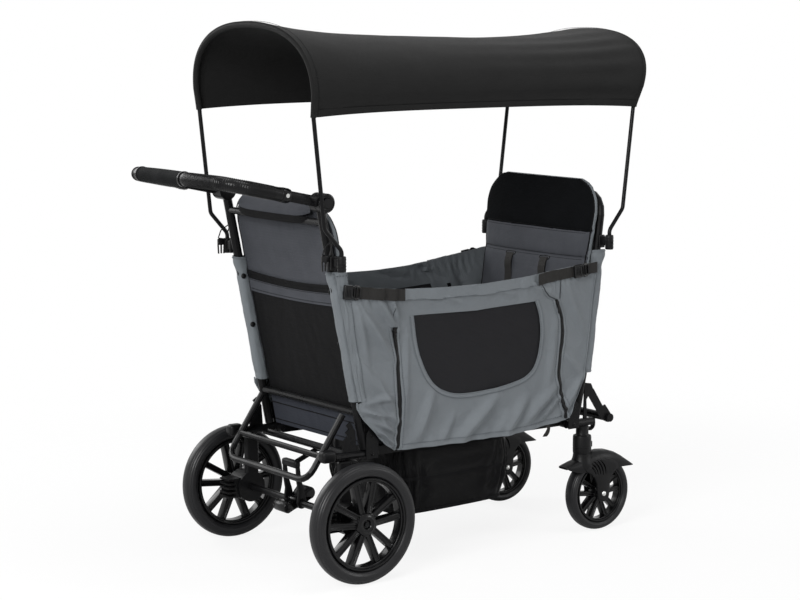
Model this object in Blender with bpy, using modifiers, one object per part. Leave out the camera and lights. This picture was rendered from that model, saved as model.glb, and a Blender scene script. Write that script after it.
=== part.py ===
# Double stroller: a four-wheeled folding frame with two facing seats, cloth walls and a canopy on two bows.
# Metres, +Z up, +X to the front, +Y to the left, origin on the floor under the middle of the object.
import math

import bmesh
import bpy
from mathutils import Matrix, Vector

# Driving sizes, with X counted forward from the rear axle
REAR_WHEEL_R = 0.150
FRONT_WHEEL_R = 0.101
REAR_TYRE_W = 0.046
FRONT_TYRE_W = 0.040
TYRE_DEPTH_REAR = 0.037
TYRE_DEPTH_FRONT = 0.024
REAR_TRACK = 0.600
FRONT_TRACK = 0.412
FRONT_AXLE_X = 0.835
SWIVEL_X = 0.781

TUBE_R = 0.0115
BAR_R = 0.009
ROD_R = 0.0045
POST_Y = FRONT_TRACK / 2 + 0.009
RAIL_Z = 0.300
RAIL_R = 0.011
REAR_FOLD_X = 0.085
FRONT_FOLD_X = 0.732

HUB_X = -0.065
HUB_Z = 0.930
HUB_R = 0.024
REAR_LEAN = 0.206
FRONT_FOOT_X = 0.745
FRONT_BEND_X = 0.772
FRONT_BEND_Z = 0.430
FRONT_LEAN = 0.131
FRONT_TOP_Z = 0.905
UPPER_BAR_Z = 0.880
LOWER_BAR_Z = 0.405

HANDLE_REACH = 0.270
HANDLE_RISE = math.radians(12)
HANDLE_Y = POST_Y + 0.0205
HANDLE_TRAVEL = 0.060
GRIP_R = 0.0165
FOAM_R = 0.0205
SLEEVE_START = 0.105

ROD_Y = POST_Y + 0.047
ROD_BOTTOM_Z = 0.768
REAR_HEM_X = -0.113
REAR_APEX_X = -0.126
FRONT_HEM_X = 0.897
FRONT_APEX_X = 0.962
HEM_Z = 1.142
SPRING_Z = 1.190
REAR_APEX_Z = 1.352
FRONT_APEX_Z = 1.331
BOW_BULGE = 0.009
CANOPY_GAP = 0.0009
ARCH_STEPS = 16

SEAT_PIVOT_Z = 0.497
REAR_SEAT_PIVOT_X = 0.092
FRONT_SEAT_PIVOT_X = 0.725
SEAT_DEPTH = 0.172
SEAT_HALF_W = POST_Y - 0.020
SEAT_THICK = 0.045
BACK_HALF_W = POST_Y + 0.0105
BACK_BOTTOM_Z = 0.520
REAR_BACK_TOP_Z = 0.925
FRONT_BACK_TOP_Z = 0.940
BACK_THICK = 0.040

WALL_Y = POST_Y + 0.0142
CLOTH = 0.003
WALL_TOP_Z = 0.735
WALL_BOTTOM_Z = 0.300
REAR_WALL_BOTTOM_Z = 0.315
FRONT_WALL_BOTTOM_Z = 0.325
SLEEVE_R = 0.0148
SLEEVE_TOP_Z = 0.759
SLEEVE_BOTTOM_Z = 0.434

REAR_LEVER_PIVOT = (-0.046, 0.302)
FRONT_LEVER_PIVOT = (0.795, 0.390)

GAP = 0.0003
RUN = 0.0005

REAR_TIP = -HUB_X + HANDLE_REACH * math.cos(HANDLE_RISE) + FOAM_R
FRONT_TIP = FRONT_APEX_X + ROD_R + CANOPY_GAP
AXLE_X = (REAR_TIP - FRONT_TIP) / 2
MID_FOLD_X = (REAR_FOLD_X + FRONT_FOLD_X) / 2

for old in list(bpy.data.objects):
    bpy.data.objects.remove(old, do_unlink=True)

parts = bpy.data.collections.new("double_stroller")
pivots = bpy.data.collections.new("pivots")
bpy.context.scene.collection.children.link(parts)
bpy.context.scene.collection.children.link(pivots)


def at(x, y, z):
    return Vector((AXLE_X + x, y, z))


# Finishes
def finish(name, colour, roughness, metallic=0.0):
    material = bpy.data.materials.new(name)
    material.use_nodes = True
    shader = material.node_tree.nodes["Principled BSDF"]
    shader.inputs["Base Color"].default_value = (*colour, 1.0)
    shader.inputs["Roughness"].default_value = roughness
    shader.inputs["Metallic"].default_value = metallic
    return material


POWDER_COAT = finish("black_powder_coat", (0.018, 0.018, 0.020), 0.42, 0.3)
PLASTIC = finish("black_nylon", (0.022, 0.022, 0.024), 0.55)
GLOSSY = finish("glossy_black_plastic", (0.012, 0.012, 0.013), 0.22)
RUBBER = finish("tyre_rubber", (0.030, 0.030, 0.032), 0.75)
FOAM = finish("handle_foam", (0.020, 0.020, 0.022), 0.9)
CHROME = finish("bright_steel", (0.75, 0.76, 0.78), 0.2, 1.0)
GREY_CLOTH = finish("slate_polyester", (0.115, 0.130, 0.142), 0.85)
DARK_CLOTH = finish("dark_grey_polyester", (0.052, 0.055, 0.064), 0.85)
BLACK_CLOTH = finish("black_polyester", (0.010, 0.010, 0.011), 0.8)
MESH_CLOTH = finish("black_mesh", (0.016, 0.017, 0.018), 0.9)


# Bodies: an empty on each joint's axis, and the body that it hangs from
BODIES = {
    "rear_frame": (None, Vector((0, 0, 0))),
    "handle_arms": ("rear_frame", at(HUB_X, 0, HUB_Z)),
    "handle_grip": ("handle_arms", at(HUB_X, 0, HUB_Z)),
    "hub_button_left": ("handle_arms", at(HUB_X, POST_Y, HUB_Z)),
    "hub_button_right": ("handle_arms", at(HUB_X, -POST_Y, HUB_Z)),
    "snap_button_left": ("handle_grip", at(HUB_X, HANDLE_Y, HUB_Z)),
    "snap_button_right": ("handle_grip", at(HUB_X, -HANDLE_Y, HUB_Z)),
    "rear_release": ("rear_frame", at(REAR_LEVER_PIVOT[0], 0, REAR_LEVER_PIVOT[1])),
    "front_release": ("front_frame", at(FRONT_LEVER_PIVOT[0], 0, FRONT_LEVER_PIVOT[1])),
    "brake_pedal": ("rear_frame", at(0, 0, REAR_WHEEL_R)),
    "rear_wheel_left": ("rear_frame", at(0, REAR_TRACK / 2, REAR_WHEEL_R)),
    "rear_wheel_right": ("rear_frame", at(0, -REAR_TRACK / 2, REAR_WHEEL_R)),
    "rear_floor": ("rear_frame", at(REAR_FOLD_X, 0, RAIL_Z)),
    "front_floor": ("rear_floor", at(MID_FOLD_X, 0, RAIL_Z)),
    "front_frame": ("front_floor", at(FRONT_FOLD_X, 0, RAIL_Z)),
    "rear_seat_base": ("rear_frame", at(REAR_SEAT_PIVOT_X, 0, SEAT_PIVOT_Z)),
    "front_seat_base": ("front_frame", at(FRONT_SEAT_PIVOT_X, 0, SEAT_PIVOT_Z)),
    "caster_left": ("front_frame", at(SWIVEL_X, FRONT_TRACK / 2, 0)),
    "caster_right": ("front_frame", at(SWIVEL_X, -FRONT_TRACK / 2, 0)),
    "front_wheel_left": ("caster_left", at(FRONT_AXLE_X, FRONT_TRACK / 2, FRONT_WHEEL_R)),
    "front_wheel_right": ("caster_right", at(FRONT_AXLE_X, -FRONT_TRACK / 2, FRONT_WHEEL_R)),
    "swivel_lock_left": ("front_frame", at(SWIVEL_X, FRONT_TRACK / 2, 0)),
    "swivel_lock_right": ("front_frame", at(SWIVEL_X, -FRONT_TRACK / 2, 0)),
    "rear_bow": ("rear_frame", at(REAR_APEX_X, 0, ROD_BOTTOM_Z)),
    "front_bow": ("front_frame", at(FRONT_APEX_X, 0, ROD_BOTTOM_Z)),
}


def make_pivots():
    empties = {}
    for name, (_, place) in BODIES.items():
        empty = bpy.data.objects.new("pivot_" + name, None)
        empty.empty_display_size = 0.03
        pivots.objects.link(empty)
        empties[name] = empty
    for name, (carrier, place) in BODIES.items():
        if carrier is None:
            continue
        empties[name].parent = empties[carrier]
        empties[name].location = place - BODIES[carrier][1]
    return empties


empties = make_pivots()


# Modelling helpers
def place_part(obj, name, body, material):
    obj.name = name
    obj.data.name = name
    obj.data.materials.clear()
    obj.data.materials.append(material)
    for holder in list(obj.users_collection):
        holder.objects.unlink(obj)
    parts.objects.link(obj)
    obj.parent = empties[body]
    obj.matrix_parent_inverse = Matrix.Translation(-BODIES[body][1])
    return obj


def new_object(data, location=(0, 0, 0), rotation=None):
    obj = bpy.data.objects.new(data.name, data)
    parts.objects.link(obj)
    turn = rotation.to_matrix().to_4x4() if rotation else Matrix.Identity(4)
    obj.matrix_world = Matrix.Translation(Vector(location)) @ turn
    return obj


def facing(direction):
    return Vector(direction).to_track_quat("Z", "Y")


def box(size, centre, bevel=0.0, rotation=None):
    mesh = bpy.data.meshes.new("box")
    bm = bmesh.new()
    bmesh.ops.create_cube(bm, size=1.0)
    bmesh.ops.scale(bm, vec=Vector(size), verts=bm.verts)
    bm.to_mesh(mesh)
    bm.free()
    obj = new_object(mesh, centre, rotation)
    if bevel:
        rounding = obj.modifiers.new("rounded_edges", "BEVEL")
        rounding.width = bevel
        rounding.segments = 1
    return obj


def cylinder(radius, length, centre, direction=(0, 0, 1), sides=20, wide=1.0):
    mesh = bpy.data.meshes.new("cylinder")
    bm = bmesh.new()
    bmesh.ops.create_cone(
        bm, cap_ends=True, segments=sides, radius1=radius, radius2=radius, depth=length
    )
    bmesh.ops.scale(bm, vec=Vector((wide, 1.0, 1.0)), verts=bm.verts)
    bm.to_mesh(mesh)
    bm.free()
    return new_object(mesh, centre, facing(direction))


def tube(route, radius, sides=12):
    curve = bpy.data.curves.new("tube", "CURVE")
    curve.dimensions = "3D"
    curve.bevel_depth = radius
    curve.bevel_resolution = (sides - 4) // 2
    curve.use_fill_caps = True
    spline = curve.splines.new("POLY")
    spline.points.add(len(route) - 1)
    for point, place in zip(spline.points, route):
        point.co = (*place, 1.0)
    return new_object(curve)


def outline_plate(outlines, thickness, centre, rotation=None):
    curve = bpy.data.curves.new("plate", "CURVE")
    curve.dimensions = "2D"
    curve.fill_mode = "BOTH"
    curve.extrude = thickness / 2
    for outline in outlines:
        spline = curve.splines.new("POLY")
        spline.points.add(len(outline) - 1)
        spline.use_cyclic_u = True
        for point, (x, y) in zip(spline.points, outline):
            point.co = (x, y, 0.0, 1.0)
    return new_object(curve, centre, rotation)


def upright_plate(outlines, thickness, y):
    # an outline in X and Z, standing across Y; X is counted from the rear axle
    stand = Matrix.Rotation(math.radians(90), 3, "X").to_quaternion()
    return outline_plate(outlines, thickness, (AXLE_X, y, 0), stand)


def arc(centre, radius, start, end, steps):
    cx, cy = centre
    angles = [math.radians(start + (end - start) * i / steps) for i in range(steps + 1)]
    return [(cx + radius * math.cos(a), cy + radius * math.sin(a)) for a in angles]


def circle(centre, radius, steps=20):
    return arc(centre, radius, 0, 360, steps)[:-1]


def ring_tube(outer, inner, length, centre, direction, sides=20):
    outlines = [circle((0, 0), outer, sides), circle((0, 0), inner, sides)]
    return outline_plate(outlines, length, centre, facing(direction))


def rounded_route(corners, radius, steps=4):
    # a polyline whose inner corners are arcs of one radius
    corners = [Vector(c) for c in corners]
    route = [corners[0]]
    for before, corner, after in zip(corners, corners[1:], corners[2:]):
        back = (before - corner).normalized()
        ahead = (after - corner).normalized()
        half = back.angle(ahead) / 2
        middle = corner + (back + ahead).normalized() * radius / math.sin(half)
        start = corner + back * radius / math.tan(half) - middle
        end = corner + ahead * radius / math.tan(half) - middle
        for i in range(steps + 1):
            route.append(middle + start.slerp(end, i / steps) * radius)
    route.append(corners[-1])
    return route


def turned(profile, centre, direction, steps):
    # a closed profile of (radius, height) turned about the direction
    mesh = bpy.data.meshes.new("turned")
    bm = bmesh.new()
    rim = [bm.verts.new((r, 0, h)) for r, h in profile]
    for one, two in zip(rim, rim[1:] + rim[:1]):
        bm.edges.new((one, two))
    bm.to_mesh(mesh)
    bm.free()
    obj = new_object(mesh, centre, facing(direction))
    spin = obj.modifiers.new("turn", "SCREW")
    spin.steps = steps
    spin.render_steps = steps
    spin.use_merge_vertices = True
    spin.merge_threshold = 0.00005
    spin.use_normal_calculate = True
    return obj


def face_outwards(bm):
    bmesh.ops.recalc_face_normals(bm, faces=bm.faces)
    if bm.calc_volume(signed=True) < 0:
        bmesh.ops.reverse_faces(bm, faces=bm.faces)


def formed_block(columns, rows, place):
    # a closed slab of one layer; place(u, v, side) gives each point, u and v from 0 to 1, side 0 or 1
    mesh = bpy.data.meshes.new("formed")
    bm = bmesh.new()
    bmesh.ops.create_cube(bm, size=1.0)
    for axis, count in ((0, columns), (1, rows)):
        along = [e for e in bm.edges if abs(e.verts[0].co[axis] - e.verts[1].co[axis]) > 0.5]
        bmesh.ops.subdivide_edges(bm, edges=along, cuts=count - 1, use_grid_fill=True)
    for vert in bm.verts:
        u, v, side = vert.co.x + 0.5, vert.co.y + 0.5, round(vert.co.z + 0.5)
        vert.co = place(u, v, side)
    face_outwards(bm)
    bm.to_mesh(mesh)
    bm.free()
    return new_object(mesh)


def as_mesh(obj):
    bpy.context.view_layer.update()
    graph = bpy.context.evaluated_depsgraph_get()
    mesh = bpy.data.meshes.new_from_object(obj.evaluated_get(graph))
    bm = bmesh.new()
    bm.from_mesh(mesh)
    bm.transform(obj.matrix_world)
    bmesh.ops.remove_doubles(bm, verts=bm.verts, dist=0.00001)
    face_outwards(bm)
    bm.to_mesh(mesh)
    bm.free()
    bpy.data.objects.remove(obj, do_unlink=True)
    return new_object(mesh)


def combine(base, others, operation):
    base = as_mesh(base)
    for other in others:
        tool = as_mesh(other)
        step = base.modifiers.new(operation.lower(), "BOOLEAN")
        step.operation = operation
        step.object = tool
        bpy.context.view_layer.update()
        joined = as_mesh(base)
        bpy.data.objects.remove(tool, do_unlink=True)
        base = joined
    return base


def weld(base, *others):
    return combine(base, others, "UNION")


def cut(base, *others):
    return combine(base, others, "DIFFERENCE")


def mirrored(obj):
    # a second object, mirrored over the middle plane
    mesh = obj.data.copy()
    bm = bmesh.new()
    bm.from_mesh(mesh)
    bmesh.ops.scale(bm, vec=Vector((1.0, -1.0, 1.0)), verts=bm.verts)
    bmesh.ops.reverse_faces(bm, faces=bm.faces)
    bm.to_mesh(mesh)
    bm.free()
    return new_object(mesh)


def smooth(obj, angle=35):
    if obj.type == "MESH":
        obj.data.shade_smooth()
        obj.data.set_sharp_from_angle(angle=math.radians(angle))
    return obj


def left_and_right(obj, name, body, material, angle=35):
    # the body is one name for both sides, or a pair of them
    left = smooth(as_mesh(obj), angle)
    right = smooth(mirrored(left), angle)
    bodies = body if isinstance(body, tuple) else (body, body)
    place_part(left, name + "_left", bodies[0], material)
    place_part(right, name + "_right", bodies[1], material)


# Centre lines of the upright frames
def rear_post_x(z):
    return HUB_X + REAR_LEAN * (HUB_Z - z)


def front_post_x(z):
    if z >= FRONT_BEND_Z:
        return FRONT_BEND_X + FRONT_LEAN * (z - FRONT_BEND_Z)
    share = (z - RAIL_Z) / (FRONT_BEND_Z - RAIL_Z)
    return FRONT_FOOT_X + (FRONT_BEND_X - FRONT_FOOT_X) * share


# Rear end: uprights, chassis, axle and their brackets
FOOT_Z = RAIL_Z + RAIL_R + GAP + TUBE_R * REAR_LEAN


def seat_hanger(post_x, pivot_x):
    # bent rod that carries a seat base, from post to post
    start_z = LOWER_BAR_Z - 0.020
    corners = [
        at(post_x(start_z), POST_Y, start_z),
        at(pivot_x, POST_Y, SEAT_PIVOT_Z),
        at(pivot_x, -POST_Y, SEAT_PIVOT_Z),
        at(post_x(start_z), -POST_Y, start_z),
    ]
    return tube(rounded_route(corners, 0.012, 3), 0.005, 8)


def crossbar(post_x, z, radius=BAR_R):
    return tube([at(post_x(z), -POST_Y, z), at(post_x(z), POST_Y, z)], radius, 10)


def make_rear_uprights():
    top_z = HUB_Z - 0.008
    post = tube(
        [at(rear_post_x(FOOT_Z), POST_Y, FOOT_Z), at(rear_post_x(top_z), POST_Y, top_z)], TUBE_R
    )
    housing = cylinder(HUB_R, 2 * TUBE_R, at(HUB_X, POST_Y, HUB_Z), (0, 1, 0), 24)
    side = weld(post, housing)
    other_side = mirrored(side)
    bars = [crossbar(rear_post_x, UPPER_BAR_Z), crossbar(rear_post_x, LOWER_BAR_Z)]
    frame = weld(side, *bars, other_side, seat_hanger(rear_post_x, REAR_SEAT_PIVOT_X))
    place_part(smooth(frame), "rear_upright_frame", "rear_frame", POWDER_COAT)


END_BLOCK_X = -0.046
END_BLOCK_LONG = 0.040
LEVER_Y = POST_Y - 0.030
LEVER_R = 0.0085
LEVER_PIN_R = 0.004
CROSS_X = 0.048


PIN_R = 0.0045
WASHER_R = 0.0135
REAR_RAIL_Y = POST_Y - 0.025
FRONT_RAIL_Y = REAR_RAIL_Y - 0.0215
RAIL_W = 0.020
PLATE_T = 0.002


def across(radius, inner, outer, x, z, sides=16):
    # a round bar that lies across the object, between two distances from the middle plane
    return cylinder(radius, outer - inner, at(x, (inner + outer) / 2, z), (0, 1, 0), sides)


def foot_bracket(middle, fold_x, rail_y):
    # cheek riveted to the side tube, and the pin with its washer that carries a floor rail
    low, wide, tall = RAIL_Z - 0.011, 0.036, 0.075
    top = low + tall - wide / 2
    outline = [(middle - wide / 2, low), (middle + wide / 2, low)]
    outline += arc((middle, top), wide / 2, 0, 180, 8)
    inner = POST_Y + TUBE_R + GAP
    outer = inner + PLATE_T
    cheek = upright_plate([outline], PLATE_T, (inner + outer) / 2)
    low_rivet = across(0.005, POST_Y, outer + GAP, middle, RAIL_Z, 12)
    top_rivet = across(0.006, outer - 0.001, outer + GAP, middle, top, 12)
    washer_in = rail_y + RAIL_W / 2 + GAP
    washer = across(WASHER_R, washer_in, max(washer_in + 0.003, POST_Y - 0.0117), fold_x, RAIL_Z, 20)
    pin = across(PIN_R, rail_y - RAIL_W / 2 - 0.004, POST_Y, fold_x, RAIL_Z)
    return weld(cheek, low_rivet, top_rivet), weld(washer, pin)


def make_rear_chassis():
    start = END_BLOCK_X + END_BLOCK_LONG / 2 + GAP
    end = REAR_FOLD_X + 0.016
    side = tube([at(start, POST_Y, RAIL_Z), at(end, POST_Y, RAIL_Z)], RAIL_R)
    back = rear_post_x(RAIL_Z + 0.05) - TUBE_R - 0.003
    base_z = RAIL_Z + 0.004
    steps = [
        (0, 0),
        (-0.004, 0.057),
        (-0.018, 0.081),
        (-0.030, 0.073),
        (-0.023, 0.063),
        (-0.033, 0.055),
        (-0.026, 0.047),
        (-0.037, 0.037),
        (-0.041, 0),
    ]
    lug = upright_plate([[(back + dx, base_z + dz) for dx, dz in steps]], 0.004, POST_Y)
    cheek, pin = foot_bracket(REAR_FOLD_X - 0.006, REAR_FOLD_X, REAR_RAIL_Y)
    side = weld(side, lug, cheek, pin)
    other_side = mirrored(side)
    cross_z = RAIL_Z - 0.008
    cross = tube([at(CROSS_X, -POST_Y, cross_z), at(CROSS_X, POST_Y, cross_z)], BAR_R, 10)
    frame = weld(side, cross, other_side)
    place_part(smooth(frame), "rear_chassis_frame", "rear_frame", POWDER_COAT)

    inner = LEVER_Y + LEVER_R + GAP
    outer = POST_Y + TUBE_R + 0.003
    middle = at(END_BLOCK_X, (inner + outer) / 2, RAIL_Z + 0.006)
    block = box((END_BLOCK_LONG, outer - inner, 0.044), middle, 0.003)
    pin = across(LEVER_PIN_R, LEVER_Y - LEVER_R - 0.001, inner + 0.004, *REAR_LEVER_PIVOT)
    left_and_right(weld(block, pin), "lever_block", "rear_frame", PLASTIC)


WHEEL_CLEAR = 0.015
CARRIER_LEG_W = 0.018
CARRIER_W = 0.056
CARRIER_OUT = (REAR_TRACK - REAR_TYRE_W) / 2 - WHEEL_CLEAR
# the housing keeps its width and always reaches in under the post
CARRIER_IN = min(CARRIER_OUT - CARRIER_W, POST_Y - CARRIER_LEG_W / 2)
SPINDLE_R = 0.006
HUB_CAP_T = 0.004


def make_axle():
    beam = cylinder(BAR_R, 2 * (CARRIER_IN - GAP), at(0, 0, REAR_WHEEL_R), (0, 1, 0))
    place_part(smooth(beam), "rear_axle_beam", "rear_frame", POWDER_COAT)
    drum = across(0.040, CARRIER_IN, CARRIER_OUT, 0, REAR_WHEEL_R, 24)
    leg_top = RAIL_Z - RAIL_R - GAP
    leg_foot = REAR_WHEEL_R + 0.010
    leg_mid = at(0.004, POST_Y, (leg_top + leg_foot) / 2)
    leg = box((0.036, CARRIER_LEG_W, leg_top - leg_foot), leg_mid, 0.003)
    comb = [(-0.012, REAR_WHEEL_R + 0.0262), (-0.012, REAR_WHEEL_R - 0.0262)]
    for i in range(5):
        low = REAR_WHEEL_R - 0.0252 + 0.0115 * i
        comb += [(-0.046, low), (-0.068, low), (-0.068, low + 0.0045), (-0.046, low + 0.0045)]
    fins = upright_plate([comb], CARRIER_OUT - CARRIER_IN - 0.012, (CARRIER_IN + CARRIER_OUT) / 2)
    spindle_end = REAR_TRACK / 2 + REAR_TYRE_W * 0.46 - 0.0015
    spindle = across(SPINDLE_R, CARRIER_OUT - 0.010, spindle_end, 0, REAR_WHEEL_R)
    carrier = weld(drum, leg, fins, spindle)
    left_and_right(carrier, "rear_axle_carrier", "rear_frame", PLASTIC)


CLAMP_Y = 0.030
CLAMP_T = 0.010
BRACE_R = 0.0065


def make_axle_clamp_and_brace():
    # two rings on the beam, one each side of the pedal, under a bridge that the brace starts from
    z = REAR_WHEEL_R
    outline = arc((0, z), 0.017, -200, 20, 12)
    outline += [(0.004, z + 0.060), (-0.004, z + 0.096), (-0.020, z + 0.096), (-0.022, z + 0.060)]
    leg = as_mesh(upright_plate([outline, circle((0, z), BAR_R + GAP, 16)], CLAMP_T, CLAMP_Y))
    bridge_x, bridge_z = -0.012, z + 0.100
    bridge = box((0.022, 2 * CLAMP_Y + CLAMP_T + 0.002, 0.024), at(bridge_x, 0, bridge_z), 0.004)
    other_leg = mirrored(leg)
    place_part(smooth(weld(bridge, leg, other_leg)), "axle_clamp", "rear_frame", PLASTIC)
    low = at(bridge_x + 0.011 + 0.003, 0, bridge_z)
    high = at(CROSS_X + 0.018, 0, RAIL_Z - 0.008 - BAR_R - BRACE_R - GAP)
    end = high + Vector((0.02, 0, 0))
    brace = tube(rounded_route([low, high, end], 0.02, 3), BRACE_R, 10)
    place_part(smooth(as_mesh(brace)), "axle_brace", "rear_frame", POWDER_COAT)


def make_brake_pedal():
    bore = BAR_R + GAP
    z = REAR_WHEEL_R
    outline = (
        arc((0.030, z + 0.022), 0.015, -60, 110, 8)
        + arc((0, z), 0.016, 80, 160, 4)
        + arc((-0.040, z - 0.006), 0.014, 90, 270, 8)
        + [(-0.012, z - 0.020), (0.012, z - 0.012)]
    )
    pedal = upright_plate([outline, circle((0, z), bore, 16)], 0.046, 0)
    place_part(smooth(as_mesh(pedal)), "brake_pedal", "brake_pedal", PLASTIC)


# Wheels
def make_wheel(name, place, radius, depth, width, spoke_w, hub_r, bore_r, cap=False):
    half = width / 2
    inner = radius - depth
    tyre_profile = [
        (inner, half * 0.74),
        (radius - depth * 0.50, half),
        (radius - depth * 0.14, half * 0.76),
        (radius, half * 0.28),
    ]
    mirrored_profile = [(r, -h) for r, h in reversed(tyre_profile)]
    tyre = turned(tyre_profile + mirrored_profile, place, (0, 1, 0), 36)
    bodies = (name + "_left", name + "_right")
    left_and_right(tyre, name + "_tyre", bodies, RUBBER, 50)

    rim_out = inner - GAP
    window_out = rim_out - 0.009
    window_in = hub_r + 0.006
    outlines = [circle((0, 0), rim_out, 36), circle((0, 0), (hub_r + bore_r) / 2, 12)]
    spoke_half = math.degrees(spoke_w / window_out) / 2
    twin_half = 13.5
    for i in range(5):
        mid = 90 + 72 * i
        # wide window between two pairs of spokes, then the narrow one inside a pair
        wide_from, wide_to = mid + twin_half + spoke_half, mid + 72 - twin_half - spoke_half
        narrow = twin_half - spoke_half
        tip_r = window_in + 0.45 * (window_out - window_in)
        outlines.append(
            arc((0, 0), window_out, wide_from, wide_to, 4)
            + arc((0, 0), window_in, wide_to - 7, wide_from + 7, 2)
        )
        outlines.append(
            arc((0, 0), window_out, mid - narrow, mid + narrow, 2)
            + arc((0, 0), tip_r, mid + 1.5, mid - 1.5, 1)
        )
    turn = Matrix.Rotation(math.radians(90), 3, "X").to_quaternion()
    spokes = outline_plate(outlines, width * 0.58, place, turn)
    boss = ring_tube(hub_r, bore_r, width * 0.92, place, (0, 1, 0), 20)
    rim = weld(spokes, boss)
    if cap:
        cap_y = width * 0.46 + HUB_CAP_T / 2 - 0.0005
        rim = weld(rim, cylinder(hub_r * 0.92, HUB_CAP_T, place + Vector((0, cap_y, 0)), (0, 1, 0), 24))
    left_and_right(rim, name + "_rim", bodies, GLOSSY)


def make_wheels():
    make_wheel(
        "rear_wheel",
        at(0, REAR_TRACK / 2, REAR_WHEEL_R),
        REAR_WHEEL_R,
        TYRE_DEPTH_REAR,
        REAR_TYRE_W,
        0.011,
        0.023,
        SPINDLE_R + GAP,
        cap=True,
    )
    make_wheel(
        "front_wheel",
        at(FRONT_AXLE_X, FRONT_TRACK / 2, FRONT_WHEEL_R),
        FRONT_WHEEL_R,
        TYRE_DEPTH_FRONT,
        FRONT_TYRE_W,
        0.009,
        0.016,
        AXLE_BOLT_R + GAP,
    )


# Front casters
AXLE_BOLT_R = 0.005
BARREL_R = 0.024
BARREL_TOP_Z = 0.262
COLLAR_TOP_Z = 0.2142
STEM_R = 0.008
FORK_T = 0.006
FENDER_CLEAR = 0.010
FENDER_T = 0.006


def fender_outline(x, z):
    # side view of the fork: cheek down to the axle, tips before and behind the wheel
    radius = FRONT_WHEEL_R + FENDER_CLEAR + FENDER_T
    front_edge = [(0.023, 0.018), (0.030, 0.040), (0.038, 0.056), (0.062, 0.066), (0.116, 0.064)]
    rear_edge = [(-0.121, 0.083), (-0.114, 0.075), (-0.088, 0.066), (-0.057, 0.063), (-0.034, 0.045), (-0.023, 0.020)]
    outline = arc((x, z - 0.002), 0.020, 190, 350, 8)
    outline += [(x + dx, z + dz) for dx, dz in front_edge]
    outline += arc((x, z), radius, 44, 122, 12)
    outline += [(x + dx, z + dz) for dx, dz in rear_edge]
    return outline


def make_caster_forks():
    wheel_x, wheel_z = FRONT_AXLE_X, FRONT_WHEEL_R
    fork_half = FRONT_TYRE_W / 2 + 0.0025
    collar_low = wheel_z + 0.078
    stem_low = wheel_z + 0.102
    stem_top = BARREL_TOP_Z - 0.008
    y = FRONT_TRACK / 2
    fender = upright_plate([fender_outline(wheel_x, wheel_z)], 2 * (fork_half + FORK_T), y)
    collar_mid = at(SWIVEL_X, y, (COLLAR_TOP_Z + collar_low) / 2)
    collar = cylinder(BARREL_R, COLLAR_TOP_Z - collar_low, collar_mid, sides=24)
    stem = cylinder(STEM_R, stem_top - stem_low, at(SWIVEL_X, y, (stem_top + stem_low) / 2), sides=16)
    wheel_room = across(FRONT_WHEEL_R + FENDER_CLEAR, y - fork_half, y + fork_half, wheel_x, wheel_z, 40)
    bolt_half = fork_half + FORK_T + 0.003
    bolt = across(AXLE_BOLT_R, y - bolt_half, y + bolt_half, wheel_x, wheel_z, 12)
    fork = weld(cut(weld(fender, collar, stem), wheel_room), bolt)
    left_and_right(fork, "caster_fork", ("caster_left", "caster_right"), PLASTIC)


def make_front_chassis():
    start, end = FRONT_FOLD_X - 0.016, SWIVEL_X + 0.024
    swivel_y = FRONT_TRACK / 2
    side = tube([at(start, POST_Y, RAIL_Z), at(end, POST_Y, RAIL_Z)], RAIL_R)

    def upright(radius, low, high, sides):
        return cylinder(radius, high - low, at(SWIVEL_X, swivel_y, (low + high) / 2), sides=sides)

    barrel_low = COLLAR_TOP_Z + GAP
    bore = upright(STEM_R + GAP, barrel_low - 0.020, BARREL_TOP_Z - 0.006, 16)
    barrel = upright(BARREL_R, barrel_low, BARREL_TOP_Z, 24)
    neck = upright(0.016, BARREL_TOP_Z - 0.004, RAIL_Z, 24)
    px, pz = FRONT_LEVER_PIVOT
    post = front_post_x(pz) + TUBE_R + GAP
    lug_outline = [
        (post, RAIL_Z + 0.004),
        (post + 0.012, RAIL_Z + 0.004),
        (post + 0.010, pz - 0.030),
        (px + 0.004, pz - 0.012),
        (px + 0.012, pz),
        (px + 0.006, pz + 0.012),
        (post + 0.004, pz + 0.016),
    ]
    lug = upright_plate([lug_outline], 0.004, POST_Y)
    lever_pin = across(LEVER_PIN_R, POST_Y - 0.009, POST_Y, px, pz)
    cheek, pin = foot_bracket(FRONT_FOLD_X, FRONT_FOLD_X, FRONT_RAIL_Y)
    side = weld(cut(weld(side, barrel, neck), bore), lug, lever_pin, cheek, pin)
    other_side = mirrored(side)
    cross_x, cross_z = FRONT_FOLD_X + 0.026, RAIL_Z - 0.006
    cross = tube([at(cross_x, -POST_Y, cross_z), at(cross_x, POST_Y, cross_z)], BAR_R, 10)
    frame = weld(side, cross, other_side)
    place_part(smooth(frame), "front_chassis_frame", "front_frame", POWDER_COAT)

    lock_x = SWIVEL_X + BARREL_R + GAP + 0.004
    lock = box((0.008, 0.012, 0.016), at(lock_x, swivel_y, 0.236), 0.0015)
    left_and_right(lock, "swivel_lock", ("swivel_lock_left", "swivel_lock_right"), PLASTIC)


# Front end
def make_front_uprights():
    top_x = front_post_x(FRONT_TOP_Z)
    foot_x = front_post_x(FOOT_Z)
    corners = [
        at(foot_x, -POST_Y, FOOT_Z),
        at(FRONT_BEND_X, -POST_Y, FRONT_BEND_Z),
        at(top_x, -POST_Y, FRONT_TOP_Z),
        at(top_x, POST_Y, FRONT_TOP_Z),
        at(FRONT_BEND_X, POST_Y, FRONT_BEND_Z),
        at(foot_x, POST_Y, FOOT_Z),
    ]
    hoop = tube(rounded_route(corners, 0.055, 4), TUBE_R)
    lower = crossbar(front_post_x, LOWER_BAR_Z)
    frame = weld(hoop, lower, seat_hanger(front_post_x, FRONT_SEAT_PIVOT_X))
    place_part(smooth(frame), "front_upright_frame", "front_frame", POWDER_COAT)


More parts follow.
